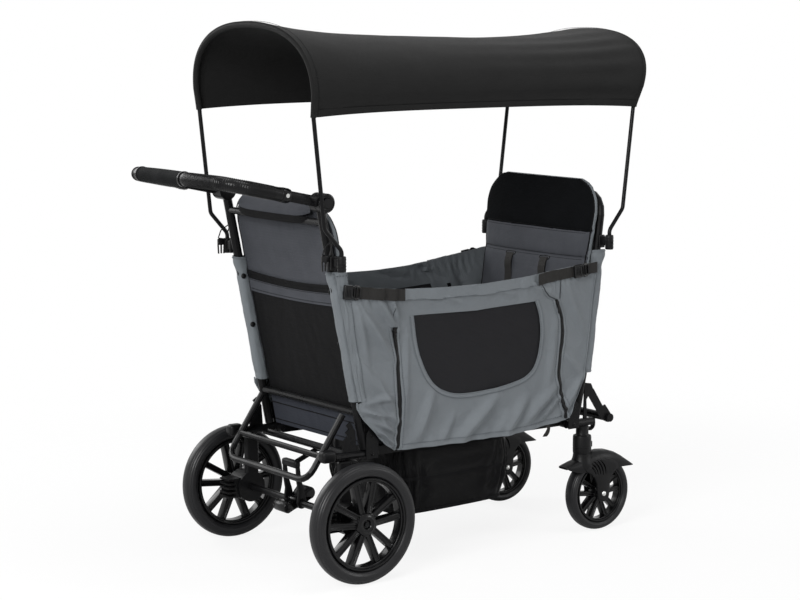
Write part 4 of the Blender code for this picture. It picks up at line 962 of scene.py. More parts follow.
def makeWallPanel():
    inner = smoothLoop(wall["window"], 560)
    middle = Vector((0.405, 0.54))
    border = [(zipX("rear", z), z) for z in spread(0.3035, topZ(0.139), 40)]
    border += [(x, topZ(x)) for x in spread(0.139, 0.66, 40)[1:]]
    border += [(zipX("front", z), z) for z in spread(topZ(0.66), 0.318, 40)[1:]]
    border += [(x, hemZ(x)) for x in spread(0.7, 0.153, 40)[1:-1]]
    outer = []
    for x, z in inner:
        # the ray from the window's middle through this point meets the border
        turn = math.atan2(z - middle.y, x - middle.x)
        ahead = Vector((math.cos(turn), math.sin(turn)))
        best = None
        for (x0, z0), (x1, z1) in zip(border, border[1:] + border[:1]):
            p, d = Vector((x0, z0)) - middle, Vector((x1 - x0, z1 - z0))
            cross = ahead.x * d.y - ahead.y * d.x
            if abs(cross) < 1e-12:
                continue
            s = (p.x * d.y - p.y * d.x) / cross
            t = (p.x * ahead.y - p.y * ahead.x) / cross
            if s > 0 and -0.0001 <= t <= 1.0001 and (best is None or s < best):
                best = s
        outer.append(tuple(middle + ahead * best))
    # the corners of the panel are met exactly
    for corner in border[::40]:
        nearest = min(range(len(outer)), key=lambda k: (Vector(outer[k]) - Vector(corner)).length)
        outer[nearest] = corner

    def place(u, v):
        k = round(u * len(inner)) % len(inner)
        x = inner[k][0] + (outer[k][0] - inner[k][0]) * v
        z = inner[k][1] + (outer[k][1] - inner[k][1]) * v
        return onCloth(x, z)

    panel = outward(clothGrid("wall_panel", len(inner), 26, place, True), outwardWay)
    thickened(panel, wall["cloth"], slateLining)
    cloths = [slateCanvas, slateLining]
    bothWalls(panel, cloths, "rear_frame", ["side_wall_#"], fold=panelFold)

    # knitted mesh behind the opening
    def pane(u, v):
        k = round(u * len(inner)) % len(inner)
        x = middle.x + (inner[k][0] - middle.x) * v * 1.035
        z = middle.y + (inner[k][1] - middle.y) * v * 1.035
        sag = 0.0022 * math.cos(v * math.pi / 2) + 0.0007 * noise.noise((x * 14, 3, z * 14))
        return at(x, wall["y"] + 0.0006 - sag * 0.6 + min(0.0015, wallRise(x, z) * 0.4), z)

    window = outward(clothGrid("window_mesh", len(inner), 18, pane, True), outwardWay)
    weld(window, 0.0001)
    thickened(window, 0.0008)
    cadNodes = ["side_window_#"]
    bothWalls(window, blackNetting, "rear_frame", cadNodes, panelFold)

    # binding tape sewn round the opening, open at the top where the panel's flap covers it
    edge = [Vector((x, 0, z)) for x, z in inner]
    start = min(range(len(edge)), key=lambda k: (edge[k] - Vector((0.203, 0, 0.638))).length)
    end = min(range(len(edge)), key=lambda k: (edge[k] - Vector((0.594, 0, 0.64))).length)
    way = 1 if edge[(start + 20) % len(edge)].z < edge[start].z else -1
    count = (end - start) * way % len(edge)
    run = [edge[(start + way * i) % len(edge)] for i in range(count + 1)]
    centres, halves, seams = [], [], ([], [])
    for k, spot in enumerate(run):
        ahead = run[min(k + 3, len(run) - 1)] - run[max(k - 3, 0)]
        out = Vector((ahead.z, 0, -ahead.x)).normalized()
        if out.dot(spot - Vector((middle.x, 0, middle.y))) < 0:
            out = -out
        centre = spot + out * 0.0048
        centres.append(onCloth(centre.x, centre.z, 0.0007))
        halves.append(out * 0.0062)
        for seam, away in zip(seams, (0.0008, 0.0096)):
            place = spot + out * away
            seam.append((place.x, place.z))
    tape = strapBand("window_tape", centres, halves, 0.0012, 0.0006)
    bothWalls(tape, slateCanvas, "rear_frame", (), fold=panelFold)
    rows = [wallThread(f"seam{i}", seam, 0.0017) for i, seam in enumerate(seams)]
    bothWalls(joinAll(rows, "window_stitches"), stitchThread, "rear_frame", fold=panelFold)
makeWallPanel()
print("wall panels done")


def makeGussets():
    # each reaches from a post's sleeve to its zip; the rear one is drawn up in a bunch at its foot
    def rearPlace(u, v):
        z0 = 0.3035 + 0.418 * v
        left = rearPostX(z0) + 0.006 if z0 > 0.434 else footX("rear", z0)
        x = left + (zipX("rear", z0) - 0.001 - left) * u
        return onCloth(x, z0 + (topZ(x) - 0.7215) * v)

    def frontPlace(u, v):
        z0 = 0.319 + 0.409 * v
        left = zipX("front", z0) + 0.001
        right = frontPostX(z0) - 0.01 if z0 > 0.439 else footX("front", z0)
        x = left + (right - left) * u
        return onCloth(x, z0 + (topZ(x) - 0.728) * v)

    for end, place, columns in (("rear", rearPlace, 44), ("front", frontPlace, 30)):
        gusset = outward(clothGrid(end + "_gusset", columns, 96, place), outwardWay)
        thickened(gusset, wall["cloth"], slateLining)
        bothWalls(gusset, [slateCanvas, slateLining], end + "_frame", ())

    # binding down the front gusset and round both feet
    bead = [onCloth(frontPostX(z) - 0.01, z, 0.0006) for z in spread(0.725, 0.439, 40)]
    bead += [onCloth(footX("front", z), z, 0.0006) for z in spread(0.434, 0.324, 20)]
    bothWalls(bentTube("front_binding", bead, 0.0016, 10), slateCanvas, "front_frame")
    bead = [onCloth(footX("rear", z), z, 0.0004) for z in spread(0.434, 0.304, 40)]
    bothWalls(bentTube("rear_foot_binding", bead, 0.0021, 10), slateCanvas, "rear_frame")

    # rolled hem under the middle panel
    spots = [(x, hemZ(x) + 0.004) for x in spread(0.153, 0.699, 120)]
    hem = wallBand("panel_hem", spots, (0, 0, 0.005), 0.0006, 0.0014, 0.0012)
    bothWalls(hem, slateCanvas, "rear_frame", fold=panelFold)
    row = [(x, hemZ(x) + 0.0125) for x in spread(0.155, 0.685, 120)]
    bothWalls(wallThread("hem_stitches", row, 0.0004), stitchThread, "rear_frame", fold=panelFold)


def makeZips():
    halves = (("near", -1), ("far", 1))
    for end, low, high in (("rear", 0.306, 0.612), ("front", 0.322, 0.64)):
        body = end + "_frame"

        def sewOn(piece, material, way):
            # the near half of the front zip is sewn to the panel and rides on the panel's body
            toPanel = end == "front" and way < 0
            bothWalls(piece, material, "rear_frame" if toPanel else body, fold=panelFold if toPanel else None)

        spots = [(zipX(end, z), z) for z in spread(low, high, 90)]
        coil = wallBand(end + "_zip", spots, (0.0056, 0, 0), 0.001, 0.0014, 0.001)
        teeth = wallThread(end + "Teeth", spots, 0.0025, 0.003, 0.0019, 0.0012)
        bothWalls(joinAll([coil, teeth], end + "_zip"), zipCoil, body)
        inside = wallBand(end + "_zip_tape", spots, (0.006, 0, 0), -0.0006 - wall["cloth"], 0.0012)
        bothWalls(inside, zipCoil, body)
        for half, way in halves:
            edge = [(x + way * 0.0094, z) for x, z in spots]
            flap = wallBand(f"{end}_zip_flap_{half}", edge, (0.0042, 0, 0), 0.0006, 0.0011, 0.001)
            sewOn(flap, slateCanvas, way)
        x, z = spots[-4]
        slider = roundedBox(end + "Slider", (0.0075, 0.004, 0.011), onCloth(x, z, 0.003), 0.0012)
        pull = roundedBox(end + "Pull", (0.005, 0.0012, 0.024), onCloth(x, z - 0.014, 0.0062), 0.0005)
        bothWalls(joinAll([slider, pull], end + "_zip_slider"), zipCoil, body)
        for half, way in halves:
            row = [(x + way * 0.0126, z) for x, z in spots]
            sewOn(wallThread(f"{end}_zip_stitches_{half}", row, 0.0013), stitchThread, way)

    # the corner flap that tucks over the front zip, and the seam above it
    line = resample(roundCorners([Vector((x, 0, z)) for x, z in wall["cornerFlap"]], 0.012, 6), 60)
    # a thin tube along the flap's edge in the dark lining colour: painted shadow of the gap under the flap
    lip = bentTube("zip_flap_shadow_line", [onCloth(p.x, p.z, 0.0006) for p in line], 0.0013, 8)
    bothWalls(lip, slateLining, "rear_frame", fold=panelFold)
    row = [(p.x - 0.004, p.z - 0.005) for p in line]
    bothWalls(wallThread("zip_flap_stitches", row, 0.0004), stitchThread, "rear_frame", fold=panelFold)
    seam = [onCloth(0.676, z, 0.0006) for z in spread(0.642, 0.7, 30)]
    bothWalls(bentTube("corner_seam", seam, 0.0011, 8), slateLining, "front_frame")


def makeTopEdge():
    # folded band along the top between the two straps, then the straps with their buckles
    def strapZ(x):
        return topZ(x) - 0.0143

    def band(name, x0, x1, half, thick, lift, crown, count):
        spots = [(x, strapZ(x)) for x in spread(x0, x1, count)]
        return wallBand(name, spots, (0, 0, half), lift, thick, crown)

    def webbing(name, x0, x1, half, count):
        # lies over the folds, not in them
        centres = []
        for x in spread(x0, x1, count):
            near = [(x + dx, strapZ(x) + dz) for dx in (-0.004, 0, 0.004) for dz in spread(-half, half, 4)]
            rise = max(wallRise(*spot) for spot in near)
            centres.append(at(x, wall["y"] + rise + wall["cloth"] + 0.0014, strapZ(x)))
        return strapBand(name, centres, [Vector((0, 0, half))] * len(centres), 0.0014)

    top = band("top_band", 0.139, 0.66, 0.0143, 0.0014, 0.0009, 0.0012, 100)
    bothWalls(top, slateCanvas, "rear_frame", (), fold=panelFold)
    row = [(x, topZ(x) - 0.0268) for x in spread(0.142, 0.657, 100)]
    bothWalls(wallThread("top_stitches", row, 0.0022), stitchThread, "rear_frame", fold=panelFold)
    for end, x0, x1 in (("rear", -0.004, 0.139), ("front", 0.66, 0.784)):
        edge = band(end + "_top_edge", x0, x1, 0.014, 0.0012, 0.0004, 0.0004, 30)
        bothWalls(edge, slateCanvas, end + "_frame")
    # strap: x from and to, half width, steps; its tail beyond the buckle: x from and to, steps
    straps = (
        ("rear", 0.02, 0.139, 0.0148, 30, 0.139, 0.173, 10),
        ("front", 0.66, 0.8, 0.014, 40, 0.597, 0.66, 24),
    )
    for end, x0, x1, half, count, tail0, tail1, tailCount in straps:
        strap = webbing(end + "_strap", x0, x1, half, count)
        tail = webbing(end + "_strap_end", tail0, tail1, 0.0148, tailCount)
        bothWalls(strap, blackWebbing, end + "_frame", ())
        bothWalls(tail, blackWebbing, "rear_frame", (), fold=panelFold)

    for tag, x in (("rear", 0.015), ("front", 0.744)):
        # side release buckle: a body with two openings, the ladder end, and two arched prongs
        z = strapZ(x)
        slope = math.atan2(topZ(x + 0.03) - topZ(x - 0.03), 0.06)
        rise = max(wallRise(x + dx, z) for dx in (-0.025, 0, 0.025))
        shell = roundedBox(tag + "Shell", (0.026, 0.008, 0.035), (-0.014, 0, 0), 0.0022, 3)
        editFaces(shell, lambda centre, normal: normal.y > 0.9)
        bpy.ops.mesh.inset(thickness=0.0036, depth=-0.0014)
        leaveEdit()
        pieces = [shell]
        prong = ((-0.004, 0, 0.008), (0.008, 0.0005, 0.0168), (0.0165, 0.0005, 0.016), (0.02, 0, 0.01))
        for way in (-1, 1):
            route = roundCorners([Vector((a, b, way * c)) for a, b, c in prong], 0.006, 5)
            pieces.append(bentTube(f"{tag}Prong{way}", route, 0.0023, 10))
            cheek = roundedBox(f"{tag}Cheek{way}", (0.03, 0.0062, 0.003), (0.005, 0, way * 0.014), 0.001)
            pieces.append(cheek)
        for place, wide in ((0.0205, 0.0034), (0.0105, 0.0026), (0.0035, 0.0026)):
            pieces.append(roundedBox(f"{tag}Bar{place}", (wide, 0.0066, 0.03), (place, 0, 0), 0.001))
        for i in range(4):
            spot = (-0.0215 + 0.0048 * i, 0.0034, 0)
            pieces.append(roundedBox(f"{tag}Rib{i}", (0.0018, 0.0014, 0.021), spot, 0.0005))
        buckle = joinAll(pieces, tag + "_buckle")
        middle = at(x, wall["y"] + 0.0075 + rise, z)
        buckle.data.transform(Matrix.Translation(middle) @ Matrix.Rotation(-slope, 4, "Y"))
        bothWalls(buckle, buckleAcetal, tag + "_frame", (), angle=35)


def makeSleeves():
    # cloth sleeves over the posts, slack behind the rear posts and before the front ones
    ends = (("rear", rearPostX, 0.002, 0.0165, 1), ("front", frontPostX, 0.005, 0.0195, 0))
    for tag, postX, slack, reach, phase in ends:

        def place(u, v):
            turn = 2 * math.pi * u
            z = 0.434 + 0.325 * v
            c, s = math.cos(turn), math.sin(turn)
            pinch = 1 - 0.24 * bell(z - 0.716, 0.012) + 0.1 * bell(z - 0.742, 0.01)
            halfX = reach * (1 - 0.1 * math.sin(math.pi * v)) * pinch * (1 + 0.05 * math.sin(z * 52 + phase))
            x = postX(z) + slack * pinch + signedPower(c, 0.8) * halfX
            y = 0.215 + signedPower(s, 0.8) * 0.015
            wrinkle = 0.0008 * noise.noise((c * 2 + 5, s * 2, z * 28)) + 0.0005 * noise.noise((c, s, z * 90))
            return at(x + wrinkle * c, y + min(wrinkle, 0.0006) * s, z + 0.0015 * s)

        sleeve = faceOut(clothGrid(tag + "_sleeve", 56, 110, place, True))
        thickened(sleeve, 0.0012, slateLining)
        bothWalls(sleeve, [slateCanvas, slateLining], tag + "_frame", ())
        rims = []
        for v, rise in ((0.0, 0.0045), (1.0, -0.0045)):
            ring = [place(i / 56, v) for i in range(57)]
            centre = sum(ring, Vector()) / len(ring)
            hem = [centre + (p - centre) * 1.025 + Vector((0, 0, rise)) for p in ring[:-1]]
            rims.append(bentTube(f"{tag}Hem{v}", hem, 0.001, 8, True))
        bothWalls(joinAll(rims, tag + "_sleeve_hems"), slateCanvas, tag + "_frame")

    # the rear sleeve's free edge lies over the gusset
    def flapPlace(u, v):
        z = 0.436 + 0.322 * v
        edge = follow([(0.434, 0.019), (0.6, 0.022), (0.7, 0.029), (0.759, 0.033)], z)
        x = rearPostX(z) - 0.004 + (edge + 0.004) * u
        crease = 0.001 * (1 + math.sin(u * 9 + 6 * noise.noise((u * 2, 3, z * 16)))) * math.sin(math.pi * u)
        blend = clamp((u - 0.25) / 0.5)
        clothY = onWall(x, min(z, 0.71)).y
        y = (wall["y"] + 0.004) * (1 - blend) + (clothY + 0.0024) * blend
        return at(x, max(y, clothY + 0.0022) + crease, z)

    flap = outward(clothGrid("rear_flap", 20, 90, flapPlace), outwardWay)
    thickened(flap, 0.0014, slateLining)
    bothWalls(flap, [slateCanvas, slateLining], "rear_frame")
    lift = Vector((0, 0.0008, 0))
    edge = [flapPlace(u, 0.975) + lift for u in spread(0, 1, 12)]
    side = [flapPlace(0.97, v) + lift for v in spread(0.02, 0.97, 60)]
    rows = [stitchRow("flapTop", edge, outwardWay), stitchRow("flapSide", side, outwardWay)]
    bothWalls(joinAll(rows, "rear_flap_stitches"), stitchThread, "rear_frame")
    domes = []
    for z in (0.58, 0.708):
        profile = [(0.0, -0.0034), (0.0035, -0.003), (0.006, -0.0018), (0.007, 0.0), (0.007, 0.0014)]
        spot = at(rearPostX(z) - 0.004, 0.1995, z)
        domes.append(latheShape(f"snap{z}", spot, "Y", [*profile, (0.0, 0.0014)], 32))
    bothWalls(joinAll(domes, "sleeve_snaps"), blackNylon, "rear_frame", ())
makeGussets()
makeZips()
makeTopEdge()
makeSleeves()
print("gussets, zips, straps and sleeves done")


# End walls: black panel, grey band under the top, dark kick panel below the crossbar


def makeEndWall(tag, postX, way, low, top, outer):
    # way is +1 where the wall lies in front of its posts
    halfW = 0.1992
    body = tag + "_frame"
    facing = (-way, 0, 0)

    def wrinkle(y, z):
        rise = 0.0012 * (0.6 + noise.noise((y * 9, way * 3.0, z * 7)))
        return max(0.0, rise + 0.0006 * noise.noise((y * 45, way, z * 12)))

    def place(y, z, lift):
        z = z - 0.01 * (1 - (y / halfW) ** 2) * max(0.0, (z - low) / (top - low)) ** 4
        return at(postX(z) + way * (0.0116 + wrinkle(y, z) - lift), y, z)

    def sheetBetween(name, z0, z1, lift, rows, half):
        grid = clothGrid(name, 60, rows, lambda u, v: place((2 * u - 1) * half, z0 + (z1 - z0) * v, lift))
        return outward(grid, facing)

    panel = sheetBetween(tag + "_wall_panel", low, top, 0.0, 60, halfW)
    thickened(panel, 0.0012)
    finishPiece(panel, outer[0], body, [tag + "_wall"], 60)
    strips = (
        ("top_binding", top - 0.0075, top, 0.0006, blackCanvas),
        ("grey_band", 0.672, 0.703, 0.0007, outer[1]),
        ("band_seam", 0.67, 0.6745, 0.0011, outer[1]),
        ("kick_panel", low, 0.396, 0.0008, outer[2]),
        ("kick_seam", 0.3705, 0.3735, 0.0014, blackCanvas),
        ("kick_low_seam", low + 0.01, low + 0.0125, 0.0014, blackCanvas),
    )
    for name, z0, z1, lift, material in strips:
        strip = sheetBetween(f"{tag}_{name}", z0, z1, lift, max(2, int((z1 - z0) / 0.006)), halfW - 0.0005)
        useModifier(strip, "SOLIDIFY", thickness=0.001, offset=1, use_even_offset=False)
        finishPiece(strip, material, body, angle=60)
    rows = []
    for z in (0.7005, 0.6765, 0.3945):
        line = [place(y, z, 0.0021) for y in spread(0.003 - halfW, halfW - 0.003, 80)]
        rows.append(stitchRow(f"{tag}Row{z}", line, facing))
    for y in (-1, 1):
        line = [place(y * (halfW - 0.006), z, 0.0006) for z in spread(0.41, 0.67, 60)]
        rows.append(stitchRow(f"{tag}Side{y}", line, facing))
    finishPiece(joinAll(rows, tag + "_wall_stitches"), blackThread, body, angle=60)
makeEndWall("rear", rearPostX, 1, 0.315, 0.724, (blackCanvas, seatCloth, kickCloth))
makeEndWall("front", frontPostX, -1, 0.325, 0.735, (slateCanvas, slateLining, slateLining))
print("end walls done")


# Seats: padded backs with headrest, gusset and piping, and the folding bases


def formedPad(name, columns, rows, place):
    # two skins joined round the edge; place(u, v, front) gives each point
    wide = columns + 1
    grid = [(i / columns, j / rows) for j in range(rows + 1) for i in range(wide)]
    points = [place(u, v, side) for side in (0, 1) for u, v in grid]
    count = wide * (rows + 1)
    faces = []
    for j in range(rows):
        for i in range(columns):
            a = j * wide + i
            b = a + count
            faces += [(a, a + 1, a + wide + 1, a + wide), (b, b + wide, b + wide + 1, b + 1)]
    loop = [i for i in range(wide)] + [j * wide + columns for j in range(1, rows + 1)]
    loop += [rows * wide + i for i in range(columns - 1, -1, -1)] + [j * wide for j in range(rows - 1, 0, -1)]
    for a, b in zip(loop, loop[1:] + loop[:1]):
        faces.append((a, a + count, b + count, b))
    return faceOut(fromPoints(name, points, faces))


def stuffed(obj, voxel, pressure, cap):
    # air pressure swells the sewn form; no point goes further than the cap
    pick(obj)
    obj.data.remesh_voxel_size = voxel
    bpy.ops.object.voxel_remesh()
    start = [v.co.copy() for v in obj.data.vertices]
    scene = bpy.context.scene
    stuffing = obj.modifiers.new("stuffing", "CLOTH")
    stuffing.settings.use_pressure = True
    stuffing.settings.uniform_pressure_force = pressure
    stuffing.settings.effector_weights.gravity = 0
    stuffing.point_cache.frame_start = 1
    stuffing.point_cache.frame_end = 20
    for step in range(1, 21):
        scene.frame_set(step)
    swollen = obj.evaluated_get(bpy.context.evaluated_depsgraph_get())
    ends = [v.co.copy() for v in swollen.data.vertices]
    obj.modifiers.remove(stuffing)
    scene.frame_set(1)
    for vert, a, b in zip(obj.data.vertices, start, ends):
        shift = b - a
        if shift.length > cap:
            shift *= cap / shift.length
        vert.co = a + shift
    # the welt holds the outline: what the swelling draws in at the edges is stretched back
    for axis in range(3):
        low, high = min(a[axis] for a in start), max(a[axis] for a in start)
        reached = [v.co[axis] for v in obj.data.vertices]
        nowLow, nowHigh = min(reached), max(reached)
        if nowHigh - nowLow < high - low:
            for vert in obj.data.vertices:
                vert.co[axis] = low + (vert.co[axis] - nowLow) * (high - low) / (nowHigh - nowLow)
    useModifier(obj, "SMOOTH", iterations=3, factor=0.5)
    return useModifier(obj, "SUBSURF", levels=1)


seat = {
    "rear": {"postX": rearPostX, "way": 1, "top": 0.925, "headrest": 0.795, "pivot": 0.092},
    "front": {"postX": frontPostX, "way": -1, "top": 0.946, "headrest": 0.808, "pivot": 0.725},
    "backHalf": 0.2235, "corner": 0.088, "bottom": 0.522, "skin": 0.016,
}


def backHalfAt(z, top):
    waist = clamp((z - seat["bottom"]) / (0.8 * (top - seat["bottom"])))
    half = seat["backHalf"] - 0.006 * math.sin(math.pi * waist)
    if top > 0.94:
        half += 0.0035 * clamp((z - 0.745) / 0.05)
    above = z - (top - seat["corner"])
    if above > 0:
        half -= seat["corner"] - math.sqrt(max(seat["corner"] ** 2 - above**2, 0.0))
    return half
def crown(u, v):
    return (1 - abs(2 * u - 1) ** 3.2) * (1 - abs(2 * v - 1) ** 3.2)


def backDepth(y, z, top, kind):
    # the front skin: full in the middle, pulled in at the two cross seams
    half = max(backHalfAt(z, top), 0.02)
    u = clamp((y / half + 1) / 2)
    v = clamp((z - seat["bottom"]) / (top - seat["bottom"]))
    depth = 0.0135 + 0.0235 * crown(u, v)
    for line in (seat[kind]["headrest"], seat[kind]["headrest"] - 0.07):
        depth -= 0.0042 * bell(z - line, 0.0085) * (1 - abs(2 * u - 1) ** 6)
    return depth


def makeSeatBack(kind):
    s = seat[kind]
    top, way, postX = s["top"], s["way"], s["postX"]
    body = kind + "_frame"

    def place(u, v, front):
        z = seat["bottom"] + (top - 0.0015 - seat["bottom"]) * v
        y = (2 * u - 1) * backHalfAt(z, top)
        depth = seat["skin"] + (backDepth(y, z, top, kind) if front else 0.0012)
        return at(postX(z) + way * depth, y, z)

    pad = stuffed(formedPad(kind + "_seat_back_pad", 40, 44, place), 0.0055, 3.0, 0.0045)
    for vert in pad.data.vertices:
        # seams draw the skin in again; the back stays behind its posts' plane
        co = vert.co
        depth = (co.x - axleX - postX(co.z)) * way
        if depth > 0.024:
            for line in (s["headrest"], s["headrest"] - 0.07):
                pull = 0.003 * bell(co.z - line, 0.0042)
                co.x -= way * pull
        if depth < 0.0157:
            co.x += way * (0.0157 - depth)
        half = 0.225 if kind == "rear" or co.z < 0.745 else 0.2285
        co.y = min(max(co.y, -half), half)
        co.x += way * 0.0007 * noise.noise((co.y * 22, way * 2.0, co.z * 16)) if depth > 0.02 else 0.0
    pad.data.materials.clear()
    for material in (seatCloth, headrestKnit, slateCanvas):
        pad.data.materials.append(material)
    for face in pad.data.polygons:
        depth = (face.center.x - axleX - postX(face.center.z)) * way
        if abs(face.normal.x) < 0.55 and depth > 0.008:
            face.material_index = 2
        elif face.center.z > s["headrest"] and face.normal.x * way > 0:
            face.material_index = 1
        else:
            face.material_index = 0
    finishPiece(pad, [seatCloth, headrestKnit, slateCanvas], body, [kind + "_seat_back"], 80)

    def frontSkin(y, z, lift=0.0):
        # reads the finished pad, so that what is sewn on it lies on it
        origin = at(postX(z) + way * 0.09, y, z)
        hit, spot, normal, face = pad.ray_cast(origin, Vector((-way, 0, 0)), distance=0.12)
        return (spot if hit else at(postX(z) + way * 0.03, y, z)) + Vector((way * lift, 0, 0))

    # piping along both edges of the gusset
    def rim(depth, shrink):
        foot = seat["bottom"] + 0.004
        ring = []
        for turn in spread(0, math.pi / 2, 80):
            z = foot + (top - 0.004 - foot) * math.sin(turn)
            ring.append((backHalfAt(z, top) - shrink, z))
        spots = [(y, z) for y, z in ring] + [(-y, z) for y, z in reversed(ring)]
        straight = seat["backHalf"] - seat["corner"]
        reach = []
        for y, z in spots:
            # where the finished pad lies, read from outside
            sideways = y - min(max(y, -straight), straight)
            away = Vector((0, sideways, z - min(z, top - seat["corner"]))).normalized()
            start = at(postX(z) + way * depth, y, z) + away * 0.03
            hit, spot, normal, face = pad.ray_cast(start, -away, distance=0.05)
            far = (spot - start).length if hit else 0
            reach.append((start, away, far if far > 0.02 else 0.031))
        for _ in range(3):
            near = [r[2] for r in reach]
            near = [near[0], *[(a + 2 * b + c) / 4 for a, b, c in zip(near, near[1:], near[2:])], near[-1]]
            reach = [(r[0], r[1], n) for r, n in zip(reach, near)]
        return resample([start - away * (n + 0.0004) for start, away, n in reach], 200)

    pipes = [bentTube(kind + "Pipe0", rim(seat["skin"] + 0.015, 0.001), 0.0019, 8)]
    pipes.append(bentTube(kind + "Pipe1", rim(seat["skin"] + 0.0012, 0.0016), 0.0017, 8))
    finishPiece(joinAll(pipes, kind + "_seat_back_piping"), blackCanvas, body, angle=60)

    # stitches on both sides of each cross seam
    rows = []
    for away in (0.004, -0.0045, -0.066, -0.0745):
        line = s["headrest"] + away
        half = backHalfAt(line, top) - 0.016
        run = [frontSkin(y, line, 0.0004) for y in spread(-half, half, 90)]
        rows.append(stitchRow(f"{kind}Row{line}", run, (way, 0, 0)))
    finishPiece(joinAll(rows, kind + "_seat_back_stitches"), blackThread, body, angle=60)

    # shoulder straps come out of two bound slots and run down into the gap above the base
    straps, slots = [], []
    slotZ = s["headrest"] - 0.078
    for side in (-1, 1):
        for level, slotHeight in enumerate((slotZ, slotZ - 0.085)):
            ring = []
            for k in range(24):
                turn = 2 * math.pi * k / 24
                y = side * 0.072 + 0.02 * signedPower(math.cos(turn), 0.5)
                z = slotHeight + 0.0045 * signedPower(math.sin(turn), 0.7)
                ring.append(frontSkin(y, z, 0.0003))
            slots.append(bentTube(f"{kind}Slot{side}{level}", ring, 0.0015, 8, True))
        centres = []
        for share in spread(0, 1, 60):
            # a small loop below the slot, then flat with a slight wave
            loop = 0.003 * math.sin(math.pi * min(1, share * 4)) * (share < 0.25)
            rise = 0.0014 + loop + 0.0012 * math.sin(share * 9) ** 2
            centres.append(frontSkin(side * (0.072 - 0.006 * share), slotZ - (slotZ - 0.545) * share, rise))
        centres.insert(0, centres[0] + Vector((-way * 0.006, 0, 0.001)))
        halves = [Vector((0, 0.014, 0))] * len(centres)
        straps.append(strapBand(f"{kind}Strap{side}", centres, halves, 0.0016))
        # adjuster half way down
        spot = frontSkin(side * 0.069, slotZ - 0.115, 0.0035)
        slots.append(roundedBox(f"{kind}Adjuster{side}", (0.0042, 0.035, 0.019), spot, 0.0012))
    finishPiece(joinAll(straps, kind + "_shoulder_straps"), blackWebbing, body, angle=60)
    finishPiece(joinAll(slots, kind + "_strap_slots"), blackNylon, body, angle=60)

    # outside of the back: name, z from and to, how far out, half width, material
    bands = [
        ("upper_strip", 0.872, 0.882, 0.0012, 0.15, blackCanvas),
        ("top_flap", 0.884, 0.916, 0.002, 0.138, seatCloth),
    ]
    if kind == "rear":
        # over the crossbar: a cover with rounded ends and a black lip
        bands = [
            ("top_flap", 0.889, 0.94, 0.002, 0.166, seatCloth),
            ("flap_lip", 0.8705, 0.8895, 0.003, 0.168, blackCanvas),
        ]
    for name, z0, z1, lift, half, material in bands:

        def bandPlace(u, v):
            y = (2 * u - 1) * half
            away = lift + 0.001 * math.sin(math.pi * v)
            if kind == "rear":
                edge = abs(y / half)
                z = z0 + (z1 - z0) * v * (1 - 0.5 * edge**6) + 0.012 * edge**5
                away += 0.0245 * (1 - clamp((z - 0.9) / 0.036)) ** 1.4 * (1 - 0.35 * edge**8)
                y *= 1 - 0.12 * v**2
            else:
                z = z0 + (z1 - z0) * v - 0.004 * (1 - (y / half) ** 2)
                y *= (1 - 0.22 * v**3) if name == "top_flap" else 1
            return at(postX(z) + way * (seat["skin"] - away), y, z)

        band = outward(clothGrid(f"{kind}_{name}", 48, 8, bandPlace), (-way, 0, 0))
        thickened(band, 0.0008)
        finishPiece(band, material, body, angle=60)
def makeSeatBase(kind):
    s = seat[kind]
    way, pivot = s["way"], s["pivot"]
    name = kind + "_seat_base"

    def place(u, v, front):
        y = (2 * u - 1) * (0.1925 - 0.004 * math.sin(math.pi * v))
        roundIn = 0.018 * max(0, v - 0.8) / 0.2 * abs(2 * u - 1) ** 6
        x = pivot + way * (0.0085 + 0.1605 * v - roundIn)
        rise = crown(u, v)
        if front:
            dip = 0.003 * (bell(v - 0.36, 0.035) + bell(v - 0.7, 0.035))
            return at(x, y, 0.4975 + 0.0125 * rise - dip * rise)
        return at(x, y, 0.47 + 0.012 * (1 - rise))

    pad = stuffed(formedPad(name + "_pad", 36, 20, place), 0.0055, 2.5, 0.0035)
    for vert in pad.data.vertices:
        # below the back's foot, clear of the pivot, and drawn in at two seams
        vert.co.z = min(vert.co.z, 0.5118)
        if (vert.co.x - axleX - pivot) * way < 0.0058:
            vert.co.x = axleX + pivot + way * 0.0058
        if vert.co.z > 0.492:
            v = ((vert.co.x - axleX - pivot) * way - 0.0085) / 0.1605
            vert.co.z -= 0.0022 * (bell(v - 0.36, 0.022) + bell(v - 0.7, 0.022))
    finishPiece(pad, seatCloth, name, [name], 80)
    edge = [at(pivot + way * (0.169 - 0.018 * abs(s) ** 6), s * 0.1905, 0.4925) for s in spread(-1, 1, 120)]
    finishPiece(bentTube(kind + "_base_piping", edge, 0.0018, 8), blackCanvas, name, angle=60)
for kind in ("rear", "front"):
    makeSeatBack(kind)
    makeSeatBase(kind)
print("seats done")


# Canopy: one sheet over both bows, casings round the bows

canopy = {
    "rodY": 0.262, "lift": 0.0054, "hem": 1.142, "spring": 1.19,
    "rear": {"foot": -0.0335, "out": -0.083, "hem": -0.113, "apexX": -0.126, "apex": 1.352},
    "front": {"foot": 0.819, "out": 0.864, "hem": 0.897, "apexX": 0.962, "apex": 1.331},
    # share of the arch's length that hangs straight at each hem
    "drop": 0.1,
    # above this height the casing's stitches turn upwards
    "seamZ": 1.15,
}


def archPoint(angle, half, apex):
    power = 2 / 2.35
    y = half * signedPower(math.cos(angle), power)
    return y, canopy["spring"] + (apex - canopy["spring"]) * max(0.0, math.sin(angle)) ** power


